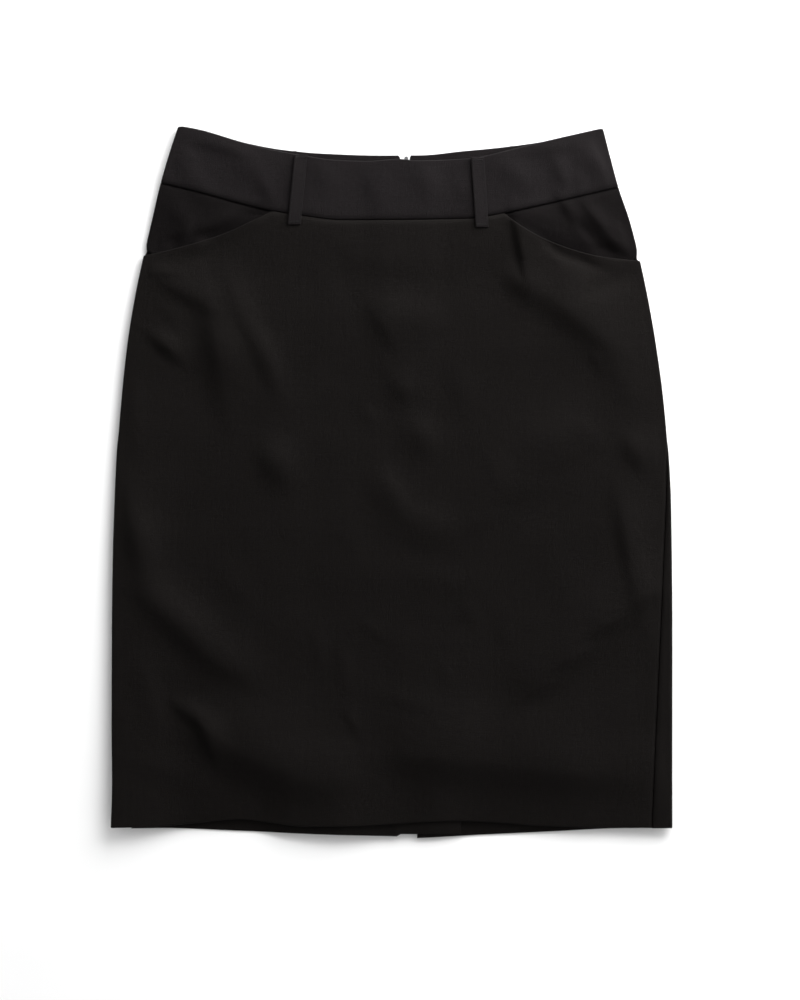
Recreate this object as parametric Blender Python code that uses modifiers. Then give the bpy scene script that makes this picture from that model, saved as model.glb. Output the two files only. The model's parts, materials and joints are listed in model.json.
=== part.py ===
"""A pencil skirt laid flat on a surface, front up.

X runs across the skirt, towards the wearer's left. Y runs up it, from hem to waist. Z is up off
the surface. The origin lies on the surface, under the middle. Lengths are in millimetres. "Left" and
"right" in the names of pieces are the wearer's own, and "low" and "high" are the side edges by
their x.

The cloth is a flattened tube. SECTIONS gives its two side edges at each height, floor_lift() the
height of the back's outer face and stack() how far the front's outer face is above that. roll()
turns one face into the other round a side edge. Each piece of cloth is a grid of points on those
faces and a second grid one wall further in, closed along its cut edges.
"""

from collections import namedtuple

import bpy
import numpy as np

MM = 0.001

# Cloth
WALL = 1.2  # one panel, with its allowances pressed flat
BAND_WALL = 1.6  # the waistband: two layers and interfacing
LOOP_WALL = 1.4  # a belt loop's folded strip
TAPE_WALL = 1.0
GAP = 0.3  # between pieces, at seams and between layers
HALF_GAP = GAP / 2
SHARP_DEGREES = 50.0

# The rolled side edges
EDGE_ROLL = 2.2  # how far in from the edge the cloth rolls over
EDGE_ARC = 3.3  # cloth round a quarter of the roll
SWING_TOP = 51.0  # the side seams leave the edges here, as the skirt is laid a little twisted
SWING_HEM = -311.0
SWING_START = 0.1  # share of that height over which they set off
SWING_POWER = 0.75  # they swing off faster at first than further down
FULL_SWING = 19.5  # how far they are off the edges at the hem

# Sections, from the waist down: the two side edges, and how far they lie off the surface
Section = namedtuple("Section", "y low_x high_x low_lift high_lift")
SECTIONS = (
    Section(321.0, -192.4, 189.3, 0.2, 0.0),
    Section(290.0, -202.4, 197.2, 0.2, 0.0),
    Section(263.0, -210.0, 204.6, 0.3, 0.0),
    Section(236.0, -216.3, 213.9, 0.6, 0.0),
    Section(200.0, -224.7, 223.3, 1.0, 0.0),
    Section(164.0, -232.1, 230.9, 1.4, 0.0),
    Section(119.0, -239.1, 238.6, 2.0, 0.0),
    Section(74.0, -243.8, 244.6, 2.5, 0.0),
    Section(29.0, -247.3, 248.5, 3.0, 0.0),
    Section(-16.0, -249.4, 250.9, 3.5, 0.0),
    Section(-61.0, -250.8, 251.6, 4.0, 0.0),
    Section(-130.0, -251.7, 252.1, 4.6, 0.2),
    Section(-220.0, -251.9, 252.0, 5.6, 1.0),
    Section(-270.0, -251.4, 251.8, 6.8, 2.0),
    Section(-321.0, -252.8, 251.8, 8.0, 3.2),
)
LOW_LIFT_REACH = 75.0  # how far in from an edge its lift fades out
HIGH_LIFT_REACH = 60.0

# Edges and seams that run across the skirt
Point = namedtuple("Point", "x y")
BACK_TOP = (
    Point(-193.0, 320.3),
    Point(-172.0, 316.2),
    Point(-136.0, 305.9),
    Point(-100.0, 298.9),
    Point(-64.0, 295.4),
    Point(-10.0, 293.6),
    Point(26.0, 293.8),
    Point(62.0, 297.3),
    Point(98.0, 300.8),
    Point(134.0, 305.7),
    Point(170.0, 313.5),
    Point(189.5, 318.0),
)
FRONT_TOP = (
    Point(-193.0, 320.3),
    Point(-172.0, 316.2),
    Point(-136.0, 305.5),
    Point(-110.0, 298.8),
    Point(-80.0, 293.5),
    Point(-51.0, 289.2),
    Point(-22.0, 288.2),
    Point(6.0, 290.0),
    Point(22.0, 288.6),
    Point(70.0, 290.7),
    Point(84.0, 293.0),
    Point(105.0, 298.2),
    Point(134.0, 305.2),
    Point(170.0, 313.5),
    Point(189.5, 318.0),
)
WAIST_SEAM = (
    Point(-208.0, 269.0),
    Point(-176.0, 261.0),
    Point(-108.0, 243.5),
    Point(-80.0, 239.0),
    Point(-46.0, 235.2),
    Point(8.0, 235.4),
    Point(71.0, 236.7),
    Point(101.0, 241.6),
    Point(138.0, 249.6),
    Point(204.0, 265.0),
)
POCKET_RIGHT = (
    Point(-224.0, 203.2),
    Point(-199.0, 208.6),
    Point(-172.0, 216.0),
    Point(-145.0, 225.4),
    Point(-127.0, 234.0),
    Point(-108.0, 243.3),
)
POCKET_LEFT = (
    Point(101.0, 241.4),
    Point(116.0, 229.8),
    Point(138.0, 217.8),
    Point(165.0, 208.0),
    Point(188.0, 202.4),
    Point(223.6, 198.6),
)
FRONT_HEM = (
    Point(-252.0, -310.4),
    Point(-213.0, -309.6),
    Point(-175.0, -306.6),
    Point(-137.0, -303.2),
    Point(-108.0, -306.4),
    Point(-79.0, -309.4),
    Point(-42.0, -309.2),
    Point(3.0, -307.2),
    Point(55.0, -304.6),
    Point(97.0, -306.4),
    Point(130.0, -308.8),
    Point(190.0, -310.4),
    Point(252.0, -310.5),
)
BACK_HEM_RIGHT = (
    Point(-252.0, -311.0),
    Point(-215.0, -311.0),
    Point(-136.0, -313.8),
    Point(-64.0, -316.6),
    Point(6.0, -318.6),
)
BACK_HEM_LEFT = (
    Point(22.0, -320.3),
    Point(62.0, -318.2),
    Point(134.0, -314.7),
    Point(209.0, -311.2),
    Point(252.0, -310.9),
)

# Centre back: seam, vent and zip
BACK_SEAM_X = 13.4  # at y = 0
BACK_SEAM_SLOPE = -0.0028
HEM_AT_SEAM = -318.6
VENT_HEIGHT = 170.0
VENT_GAPE = 16.2  # how far the vent has opened at the hem
UNDERLAP_EDGE_X = 62.0
UNDERLAP_HEM_Y = -316.5
UNDERLAP_RISE = 12.0  # over this the right back climbs on to the overlap
UNDERLAP_SHARES = (0.04, 0.3, 0.65, 1.0)
LAYER = WALL + GAP  # from one layer's face to the face of the one on it
ZIP_FOOT_Y = 112.0
ZIP_HEAD_Y = 281.0
TAPE_WIDTH = 10.5
TAPE_STEP_BELOW = 4.5  # how far under the waist seam a tape starts to step over the waistband
TAPE_STEP_RISE = 3.0
BACK_BAND_ROWS = (0.0, 0.33, 0.66, 0.8, 0.95, 1.0)
NOTCH = (
    # height, and how far each end of the back waistband is from the centre back
    Point(HALF_GAP, 274.0),
    Point(3.2, 282.0),
    Point(3.7, 290.6),
    Point(6.6, 294.0),
)

# Pocket side pieces
HIP_UNDERLAY = 22.0  # how far they run on under the front
HIP_RETREAT = 6.0  # under the front they keep this far in from the rolled edge
HIP_RETREAT_RISE = 6.0
HIP_OVERRUN = 0.035  # how far past the mouth they run, as a share of the way across
HIP_ROWS = (0.0, 0.1, 0.2, 0.27, 0.34, 0.45, 0.6, 0.8, 1.0)
LEAST_SHARE = 0.01  # between two columns of a pocket piece
SINK_FADE = 50.0  # under a mouth's end the side seam comes back to halfway over this

# Belt loops: the middle of each one's head and foot
Loop = namedtuple("Loop", "name face head_x foot_x")
LOOPS = (
    Loop("belt_loop_front_right", "front", -81.8, -88.0),
    Loop("belt_loop_front_left", "front", 76.6, 80.8),
    Loop("belt_loop_back_right", "back", -92.0, -100.0),
    Loop("belt_loop_back_left", "back", 112.0, 122.0),
)
LOOP_WIDTH = 11.8
LOOP_DROP = 9.2  # how far a loop's foot is under the waist seam
LOOP_STAND = 0.5  # how far its middle stands off the waistband

# The lie of the skirt
PANEL_AIR = 1.2  # between front and back
WAIST_AIR = 0.8  # more of it in the top, over the pocket pieces and the waistband
WAIST_AIR_FROM = 60.0
WAIST_AIR_RISE = 100.0
CROWN_AIR = 0.5  # more of it away from the side edges
CROWN_REACH = 45.0
ZIP_AIR = 0.8
ZIP_AIR_HALF_WIDTH = 16.0
ZIP_AIR_FADE = 24.0
UNDERLAP_AIR = 0.7
BAND_LIFT = LOOP_WALL + GAP  # the back waistband lies on its belt loops
BAND_LIFT_FADE = 48.0
HEM_FADE = 95.0
Wave = namedtuple("Wave", "x lift")
HEM_WAVES = (
    Wave(-253.0, 0.0),
    Wave(-205.0, 0.0),
    Wave(-125.0, 0.0),
    Wave(-88.0, 4.2),
    Wave(-50.0, 6.0),
    Wave(-14.0, 3.6),
    Wave(12.0, 1.6),
    Wave(38.0, 2.2),
    Wave(74.0, 0.0),
    Wave(115.0, 0.4),
    Wave(170.0, 1.6),
    Wave(253.0, 1.0),
)

# The front's largest folds: middle, direction from +X, half length and half width, height
Fold = namedtuple("Fold", "x y angle length width height")
FOLDS = (
    Fold(-172.0, -216.0, -65.0, 32.0, 10.0, -1.5),
    Fold(-199.0, -97.0, -54.0, 68.0, 24.0, 1.3),
    Fold(174.0, -156.0, 45.0, 82.0, 21.0, -1.2),
    Fold(-112.0, 14.0, 61.0, 46.0, 15.0, -0.9),
    Fold(109.0, 214.0, -78.0, 20.0, 9.0, -0.5),
    Fold(156.0, 184.0, -15.0, 36.0, 13.0, 0.7),
    Fold(-214.0, 137.0, -56.0, 36.0, 15.0, -0.8),
    Fold(12.0, 36.0, 86.0, 56.0, 16.0, 0.8),
    Fold(150.0, 52.0, 70.0, 34.0, 20.0, 0.6),
    Fold(210.0, -25.0, 88.0, 78.0, 17.0, -0.9),
    Fold(-111.0, 110.0, -53.0, 40.0, 13.0, 0.7),
    Fold(60.0, -212.0, 4.0, 175.0, 34.0, 1.5),
)
FOLD_EDGE_FADE = 14.0

# Zip slider and pull tab, at the head of the zip
SLIDER_X = 12.6
SLIDER_FOOT_Y = 283.6
SLIDER_LENGTH = 9.0
SLIDER_HALF_WIDTH = 2.6
SLIDER_NOSE_HALF_WIDTH = 1.7
SLIDER_BASE_Z = 2.0
SLIDER_THICKNESS = 2.2
LUG_THICKNESS = 0.8
LUG_LENGTH = 1.8
LUG_FOOT_Z = 0.4
PIVOT_Y = 287.2
PIVOT_Z = 0.95
BARREL_RADIUS = 0.6
BARREL_LENGTH = 2.0
TAB_LENGTH = 20.0
TAB_NECK = 4.5
TAB_NECK_HALF_WIDTH = 1.0
TAB_HALF_WIDTH = 2.5
TAB_THICKNESS = 0.8


def smooth(share):
    """0 below 0, 1 above 1, and a soft step between."""
    share = np.clip(share, 0.0, 1.0)
    return share * share * (3.0 - 2.0 * share)


def curve(places, values):
    """A smooth curve through the values: a cubic between each two, level where they turn back, so
    that it never swings past them."""
    places = np.array(places, float)
    values = np.array(values, float)
    steps = np.diff(places)
    rates = np.diff(values) / steps
    before, after = rates[:-1], rates[1:]
    turning = before * after <= 0
    total = np.where(turning, 1.0, before + after)
    inner = np.where(turning, 0.0, 2 * before * after / total)
    slopes = np.concatenate([rates[:1], inner, rates[-1:]])

    def at(place):
        place = np.clip(place, places[0], places[-1])
        k = np.clip(np.searchsorted(places, place) - 1, 0, len(steps) - 1)
        u = (place - places[k]) / steps[k]
        near = values[k] * (1 + 2 * u) + slopes[k] * steps[k] * u
        far = values[k + 1] * (3 - 2 * u) + slopes[k + 1] * steps[k] * (u - 1)
        return near * (1 - u) ** 2 + far * u**2

    return at


RISING = SECTIONS[::-1]
low_edge = curve([s.y for s in RISING], [s.low_x for s in RISING])
high_edge = curve([s.y for s in RISING], [s.high_x for s in RISING])
low_edge_lift = curve([s.y for s in RISING], [s.low_lift for s in RISING])
high_edge_lift = curve([s.y for s in RISING], [s.high_lift for s in RISING])
hem_wave = curve([w.x for w in HEM_WAVES], [w.lift for w in HEM_WAVES])


def across(x, y):
    """How far across the skirt x is at height y: 0 on one edge, 1 on the other."""
    return (x - low_edge(y)) / (high_edge(y) - low_edge(y))


def crossing(points):
    """The height of an edge or seam, by how far across the skirt it is."""
    return curve([across(p.x, p.y) for p in points], [p.y for p in points])


back_top = crossing(BACK_TOP)
front_top = crossing(FRONT_TOP)
waist_seam = crossing(WAIST_SEAM)
pocket_right = crossing(POCKET_RIGHT)
pocket_left = crossing(POCKET_LEFT)
front_hem = crossing(FRONT_HEM)
back_hem_right = crossing(BACK_HEM_RIGHT)
back_hem_left = crossing(BACK_HEM_LEFT)
RIGHT_MOUTH_END = across(*POCKET_RIGHT[-1])
LEFT_MOUTH_END = across(*POCKET_LEFT[0])
VENT_TOP = HEM_AT_SEAM + VENT_HEIGHT


def back_seam(y):
    return BACK_SEAM_X + BACK_SEAM_SLOPE * y


def vent_opening(y):
    """How far apart the two backs' centre lines have swung at height y."""
    return VENT_GAPE * np.clip((VENT_TOP - y) / VENT_HEIGHT, 0.0, 1.0)


def seam_swing(y):
    """How far the side seams have swung off the edges at height y."""
    share = np.clip((SWING_TOP - y) / (SWING_TOP - SWING_HEM), 0.0, 1.0)
    return FULL_SWING * share**SWING_POWER * smooth(share / SWING_START)


def edge_distance(x, y):
    return np.minimum(x - low_edge(y), high_edge(y) - x)


def fold_height(x, y):
    total = 0.0
    for fold in FOLDS:
        angle = np.radians(fold.angle)
        along = (x - fold.x) * np.cos(angle) + (y - fold.y) * np.sin(angle)
        aside = (y - fold.y) * np.cos(angle) - (x - fold.x) * np.sin(angle)
        total = total + fold.height * np.exp(-((along / fold.length) ** 2) - (aside / fold.width) ** 2)
    return total * smooth(edge_distance(x, y) / FOLD_EDGE_FADE)


def floor_lift(x, y):
    """Height of the back's outer face off the surface."""
    low = low_edge_lift(y) * smooth(1 - (x - low_edge(y)) / LOW_LIFT_REACH)
    high = high_edge_lift(y) * smooth(1 - (high_edge(y) - x) / HIGH_LIFT_REACH)
    hem = hem_wave(x) * smooth(1 - (y - HEM_AT_SEAM) / HEM_FADE)
    under_seam = waist_seam(across(x, y)) - y
    band = BAND_LIFT * smooth(1 - (under_seam - LOOP_DROP - GAP) / BAND_LIFT_FADE)
    return low + high + hem + band


def stack(x, y):
    """Height of the front's outer face over the back's outer face."""
    air = PANEL_AIR + WAIST_AIR * smooth((y - WAIST_AIR_FROM) / WAIST_AIR_RISE)
    air = air + CROWN_AIR * smooth(edge_distance(x, y) / CROWN_REACH)
    from_zip = np.abs(x - back_seam(y)) - ZIP_AIR_HALF_WIDTH
    over_zip = smooth(1 - from_zip / ZIP_AIR_FADE)
    air = air + ZIP_AIR * over_zip * smooth((y - ZIP_FOOT_Y) / ZIP_AIR_FADE + 1)
    half = (UNDERLAP_EDGE_X - back_seam(y)) / 2
    from_underlap = np.abs(x - back_seam(y) - half) - half
    over_underlap = smooth(1 - from_underlap / ZIP_AIR_FADE)
    air = air + UNDERLAP_AIR * over_underlap * smooth((VENT_TOP - y) / ZIP_AIR_FADE + 1)
    return 2 * WALL + air + fold_height(x, y)


def face(side, x, y, depth, drop=0.0):
    """A point depth inside the outer face of the front (side 1) or the back (side -1). drop
    lowers the front's."""
    z = floor_lift(x, y)
    if side > 0:
        z = z + stack(x, y) - drop
    return x, z - side * depth


def mouth_end(edge):
    """The height at which a pocket mouth ends on a side edge."""
    return POCKET_RIGHT[0].y if edge == "low" else POCKET_LEFT[-1].y


def seam_sink(edge, y):
    """How much lower than halfway a panel's side seam lies, to meet the pocket piece."""
    return LAYER / 2 * smooth((y - mouth_end(edge)) / SINK_FADE + 1)


def roll(edge, side, out, y, depth, sink=0.0, drop=0.0):
    """A point depth inside a side edge's rolled cloth, on a piece of the front (side 1) or the
    back (side -1). out is its distance along the cloth from the edge's middle, positive over the
    front and negative round the back. The gap in the side seam is along the cloth, or straight
    up where the seam is on the edge's middle."""
    inward = 1 if edge == "low" else -1
    edge_x = low_edge(y) if edge == "low" else high_edge(y)
    gap_along = HALF_GAP * smooth(seam_swing(y) / EDGE_ARC)
    out = out + side * gap_along
    bend = np.clip(np.abs(out) / EDGE_ARC, 0.0, 1.0) * np.pi / 2
    run = EDGE_ROLL + np.maximum(np.abs(out) - EDGE_ARC, 0.0)
    flat_x = edge_x + inward * run
    _, top = face(1, flat_x, y, 0.0, drop)
    _, base = face(-1, flat_x, y, 0.0)
    middle = base + (top + drop - base) / 2 - sink + side * (HALF_GAP - gap_along)
    x = flat_x - inward * (EDGE_ROLL - depth) * np.cos(bend)
    half = np.where(out > 0, top - middle, middle - base) - depth
    return x, middle + half * np.sin(bend) * np.sign(out)


def edge_column(edge, side, plain, swung):
    """A panel's column by a side edge: plain and swung are its places along the cloth where the
    side seam is on the edge and where it has swung its full way."""

    def at(y, depth):
        share = seam_swing(y) / FULL_SWING
        out = side * (plain + share * (swung - plain))
        return roll(edge, side, out, y, depth, seam_sink(edge, y))

    return at


def band_edge_column(edge, side, out):
    """The waistband's column by a side edge, where its seam is halfway up."""
    return lambda y, depth: roll(edge, side, side * out, y, depth)


def flat_column(side, share, start, end):
    """A column of points between two lines, given as functions of height."""

    def at(y, depth):
        return face(side, start(y) + share * (end(y) - start(y)), y, depth)

    return at


# Places of the columns along the cloth round an edge, from the seam inwards
ROLLED = np.linspace(0.0, EDGE_ARC, 4)
WRAPPED_PLAIN = np.linspace(0.0, EDGE_ARC, 8)
WRAPPED_SWUNG = np.array([-FULL_SWING, -10.0, -EDGE_ARC, -1.8, 0.0, 1.4, 2.4, EDGE_ARC])


def short_edge(edge, side):
    """Edge columns of the panel that stops short as the seam swings, from its seam inwards."""
    return [edge_column(edge, side, s, s + FULL_SWING) for s in ROLLED]


def wrapped_edge(edge, side):
    """Edge columns of the panel that wraps the edge as the seam swings, from its seam inwards."""
    return [edge_column(edge, side, *pair) for pair in zip(WRAPPED_PLAIN, WRAPPED_SWUNG)]


def band_edge(edge, side):
    """Edge columns of the waistband, from its side seam inwards."""
    return [band_edge_column(edge, side, s) for s in ROLLED]


def low_flat(y):
    """Where the flat of a face starts beside the low edge."""
    return low_edge(y) + EDGE_ROLL


def high_flat(y):
    return high_edge(y) - EDGE_ROLL


def low_flat_swung(y):
    return low_edge(y) + EDGE_ROLL + seam_swing(y)


def high_flat_swung(y):
    return high_edge(y) - EDGE_ROLL - seam_swing(y)


def shares(*stops):
    """Shares of the way across: stops are pairs of a share and how many steps lead to it."""
    found = [0.0]
    for share, steps in stops:
        found.extend(np.linspace(found[-1], share, steps + 1)[1:])
    return found


def column_end(column, edge):
    """The height at which a column meets an edge, which is a height by the way across."""
    y = edge(0.5)
    for _ in range(3):
        x, _ = column(y, 0.0)
        y = edge(across(x, y))
    return y


def lattice(columns, foot, head, rows, wall):
    """A piece's outer and inner points, row by row: each column runs from foot to head."""
    points = np.empty((2, len(rows), len(columns), 3))
    for i, column in enumerate(columns):
        low, high = column_end(column, foot), column_end(column, head)
        y = low + (high - low) * np.array(rows)
        for layer, depth in enumerate((0.0, wall)):
            x, z = column(y, depth)
            points[layer, :, i] = np.stack([x, y, z], axis=1)
    return points


def grid_faces(points, side):
    """The faces of a grid of points, out of the cloth's outer side. Points that are not there
    (NaN) leave their faces out."""
    rows, columns = points.shape[:2]
    faces = []
    for r in range(rows - 1):
        for c in range(columns - 1):
            corners = [(r, c), (r, c + 1), (r + 1, c + 1), (r + 1, c)]
            if not any(np.isnan(points[corner]).any() for corner in corners):
                faces.append([a * columns + b for a, b in corners][::side])
    return faces


def link_mesh(name, points, faces, material):
    """A new object in the skirt's collection, of the points that the faces use."""
    used = sorted({index for corners in faces for index in corners})
    place = {index: k for k, index in enumerate(used)}
    mesh = bpy.data.meshes.new(name)
    mesh.from_pydata([points[k] * MM for k in used], [], [[place[k] for k in f] for f in faces])
    mesh.shade_smooth()
    mesh.materials.append(material)
    made = bpy.data.objects.new(name, mesh)
    skirt.objects.link(made)
    return made


def rim_faces(a, b, shift):
    """Two triangles that close the cut edge from a to b. They meet on the line from its lower
    end's outer point to its upper end's inner one, so that two pieces' rims twist alike."""
    if a < b:
        return [(b, a, b + shift), (a, a + shift, b + shift)]
    return [(b, a, a + shift), (b, a + shift, b + shift)]


def cloth(name, points, side, material):
    """A closed piece of cloth between its outer and inner points, with its cut edges closed."""
    outer, inner = points
    faces = grid_faces(outer, side)
    shift = outer.shape[0] * outer.shape[1]
    sides = {(f[k], f[(k + 1) % 4]) for f in faces for k in range(4)}
    cuts = sorted((a, b) for a, b in sides if (b, a) not in sides)
    rims = [triangle for a, b in cuts for triangle in rim_faces(a, b, shift)]
    inside = [[k + shift for k in f[::-1]] for f in faces]
    both = np.concatenate([outer.reshape(-1, 3), inner.reshape(-1, 3)])
    made = link_mesh(name, both, faces + inside + rims, material)
    made.data.set_sharp_from_angle(angle=np.radians(SHARP_DEGREES))


def strip(name, points, side, wall, material):
    """A strip on its outer points, which Solidify thickens towards the cloth that it is on."""
    made = link_mesh(name, points.reshape(-1, 3), grid_faces(points, side), material)
    thickness = made.modifiers.new("Thickness", "SOLIDIFY")
    thickness.thickness = wall * MM
    thickness.offset = -1.0
    thickness.use_even_offset = True


def material(name, colour, roughness, metallic=0.0):
    made = bpy.data.materials.new(name)
    made.use_nodes = True
    shader = made.node_tree.nodes["Principled BSDF"]
    shader.inputs["Base Color"].default_value = (*colour, 1.0)
    shader.inputs["Roughness"].default_value = roughness
    shader.inputs["Metallic"].default_value = metallic
    return made


def just_under(edge):
    return lambda share: edge(share) - HALF_GAP


def just_over(edge):
    return lambda share: edge(share) + HALF_GAP


def front_panel_top(share):
    """The front's upper edge: pocket mouth, waist seam, pocket mouth."""
    seam = waist_seam(share) - HALF_GAP
    right = np.where(share < RIGHT_MOUTH_END, pocket_right(share), seam)
    both = np.where(share > LEFT_MOUTH_END, pocket_left(share), right)
    return np.minimum(both, seam)


# Columns of the front's flat face, which its panel, its waistband and the pocket pieces share
FRONT_SHARES = shares((RIGHT_MOUTH_END, 8), (LEFT_MOUTH_END, 15), (1.0, 8))
FRONT_ROWS = np.array(shares((19 / 30, 19), (21 / 30, 4), (1.0, 9)))
RIGHT_BACK_SHARES = shares((0.4, 6), (0.94, 6), (1.0, 2))
LEFT_BACK_SHARES = shares((0.6, 7), (1.0, 6))


def build_front():
    columns = wrapped_edge("low", 1)
    columns += [flat_column(1, share, low_flat, high_flat_swung) for share in FRONT_SHARES[1:-1]]
    columns += short_edge("high", 1)[::-1]
    points = lattice(columns, front_hem, front_panel_top, FRONT_ROWS, WALL)
    cloth("front_panel", points, 1, cloth_material)


def hip_retreat(edge, y):
    """How far in from the rolled edge a pocket piece keeps, where it runs on under the front."""
    return HIP_RETREAT * smooth(1 - (y - mouth_end(edge) - GAP) / HIP_RETREAT_RISE)


def hip_column(edge, out):
    """A pocket piece's column by the edge."""

    def at(y, depth):
        place = out + hip_retreat(edge, y)
        return roll(edge, 1, place, y, depth, LAYER / 2, LAYER)

    return at


def hip_flat_column(edge, share, inner):
    """A pocket piece's column between the rolled edge and its inner end, under the front."""

    def at(y, depth):
        inward = (inner - share) / abs(inner - round(inner))
        x = low_flat(y) + share * (high_flat(y) - low_flat(y))
        return face(1, x + inward * hip_retreat(edge, y), y, depth, LAYER)

    return at


def build_hip_piece(name, edge, mouth):
    """A pocket side piece, from the waist seam to under the front's slanted edge."""
    columns = [hip_column(edge, out) for out in ROLLED]
    if edge == "low":
        inner = RIGHT_MOUTH_END + HIP_OVERRUN
        flat = [share for share in FRONT_SHARES if 0 < share < inner - LEAST_SHARE] + [inner]
        columns = columns + [hip_flat_column(edge, share, inner) for share in flat]
    else:
        inner = LEFT_MOUTH_END - HIP_OVERRUN
        flat = [inner] + [share for share in FRONT_SHARES if inner + LEAST_SHARE < share < 1]
        columns = [hip_flat_column(edge, share, inner) for share in flat] + columns[::-1]

    def foot(share):
        return np.minimum(mouth(share), waist_seam(share)) - HIP_UNDERLAY

    points = lattice(columns, foot, just_under(waist_seam), HIP_ROWS, WALL)
    cloth(name, points, 1, cloth_material)


def on_overlap(points):
    """Lifts the right back's points on to the overlap, where the vent is."""
    x, y = points[..., 0], points[..., 1]
    centre = back_seam(y) - vent_opening(y) / 2
    beside = smooth((x - centre + UNDERLAP_RISE) / UNDERLAP_RISE)
    below = smooth((VENT_TOP - y) / UNDERLAP_RISE)
    points[..., 2] += LAYER * beside * below
    return points


def back_rows():
    """Rows of both backs, level with the front's at the side seams, with two more at the vent's
    top, and the number of rows up to the underlap's top."""
    side_length = waist_seam(0.0) - front_hem(0.0)
    low = FRONT_ROWS * (mouth_end("low") - front_hem(0.0)) / side_length
    hip_foot = mouth_end("low") - HIP_UNDERLAY
    high = np.array(HIP_ROWS) * (waist_seam(0.0) - hip_foot) + hip_foot - front_hem(0.0)
    high = high[high > low[-1] * side_length + 1.0] / side_length
    length = waist_seam(0.5) - HEM_AT_SEAM
    vent = np.array([VENT_HEIGHT - UNDERLAP_RISE, VENT_HEIGHT]) / length
    rows = np.sort(np.concatenate([low, vent, high]))
    return rows, int(np.searchsorted(rows, vent[0])) + 1


def build_backs():
    rows, vent_rows = back_rows()
    head = just_under(waist_seam)

    def right_centre(y):
        return back_seam(y) - HALF_GAP - vent_opening(y) / 2

    def left_centre(y):
        return back_seam(y) + HALF_GAP + vent_opening(y) / 2

    flat = RIGHT_BACK_SHARES[1:]
    columns = short_edge("low", -1)
    columns += [flat_column(-1, share, low_flat_swung, right_centre) for share in flat]
    body = lattice(columns, back_hem_right, head, rows, WALL)
    laps = [
        flat_column(-1, share, right_centre, lambda y: UNDERLAP_EDGE_X + 0 * y)
        for share in UNDERLAP_SHARES
    ]
    lap = lattice(laps, lambda share: UNDERLAP_HEM_Y + 0 * share, head, rows, WALL)
    lap[:, vent_rows:] = np.nan
    points = on_overlap(np.concatenate([body, lap], axis=2))
    cloth("back_panel_right", points, -1, cloth_material)

    flat = LEFT_BACK_SHARES[:-1]
    columns = [flat_column(-1, share, left_centre, high_flat) for share in flat]
    columns += wrapped_edge("high", -1)[::-1]
    points = lattice(columns, back_hem_left, head, rows, WALL)
    cloth("back_panel_left", points, -1, cloth_material)


def build_waistband():
    columns = band_edge("low", 1)
    columns += [flat_column(1, share, low_flat, high_flat) for share in FRONT_SHARES[1:-1]]
    columns += band_edge("high", 1)[::-1]
    rows = np.linspace(0.0, 1.0, 5)
    points = lattice(columns, just_over(waist_seam), front_top, rows, BAND_WALL)
    cloth("waistband_front", points, 1, band_material)

    notch = curve([p.y for p in NOTCH], [p.x for p in NOTCH])
    rows = BACK_BAND_ROWS

    def right_end(y):
        return back_seam(y) - notch(y)

    def left_end(y):
        return back_seam(y) + notch(y)

    columns = band_edge("low", -1)
    columns += [flat_column(-1, share, low_flat, right_end) for share in RIGHT_BACK_SHARES[1:]]
    points = lattice(columns, just_over(waist_seam), back_top, rows, BAND_WALL)
    cloth("waistband_back_right", points, -1, band_material)
    columns = [flat_column(-1, share, left_end, high_flat) for share in LEFT_BACK_SHARES[:-1]]
    columns += band_edge("high", -1)[::-1]
    points = lattice(columns, just_over(waist_seam), back_top, rows, BAND_WALL)
    cloth("waistband_back_left", points, -1, band_material)


def build_loop(loop):
    """A strip on the waistband, from its top edge to just under its seam."""
    front = loop.face == "front"
    top = front_top if front else back_top
    head_y = top(across(loop.head_x, top(0.5)))
    foot_y = waist_seam(across(loop.foot_x, waist_seam(0.5))) - LOOP_DROP
    share = np.linspace(0.0, 1.0, 11)[:, None]
    middle = loop.foot_x + share * (loop.head_x - loop.foot_x)
    x = middle + LOOP_WIDTH * np.array([-0.5, 0.0, 0.5])
    y = np.broadcast_to(foot_y + share * (head_y - foot_y), x.shape)
    if front:
        z = floor_lift(x, y) + stack(x, y) + GAP + LOOP_WALL + LOOP_STAND * np.sin(np.pi * share)
    else:
        z = np.zeros(x.shape)
    points = np.stack([x, y, z], axis=-1)
    strip(loop.name, points, 1 if front else -1, LOOP_WALL, band_material)


def build_tape(name, side):
    """One half of the zip's tape, on the inner face of the back and of its waistband."""
    y = np.linspace(ZIP_FOOT_Y, ZIP_HEAD_Y, 13)[:, None]
    out = np.array([2 * GAP, TAPE_WIDTH / 2, TAPE_WIDTH])[::side]
    x = back_seam(y) + side * out
    y = np.broadcast_to(y, x.shape)
    over_seam = smooth((y - waist_seam(across(x, y)) + TAPE_STEP_BELOW) / TAPE_STEP_RISE)
    z = floor_lift(x, y) + WALL + (BAND_WALL - WALL) * over_seam + GAP
    strip(name, np.stack([x, y, z], axis=-1), -1, TAPE_WALL, tape_material)


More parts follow.
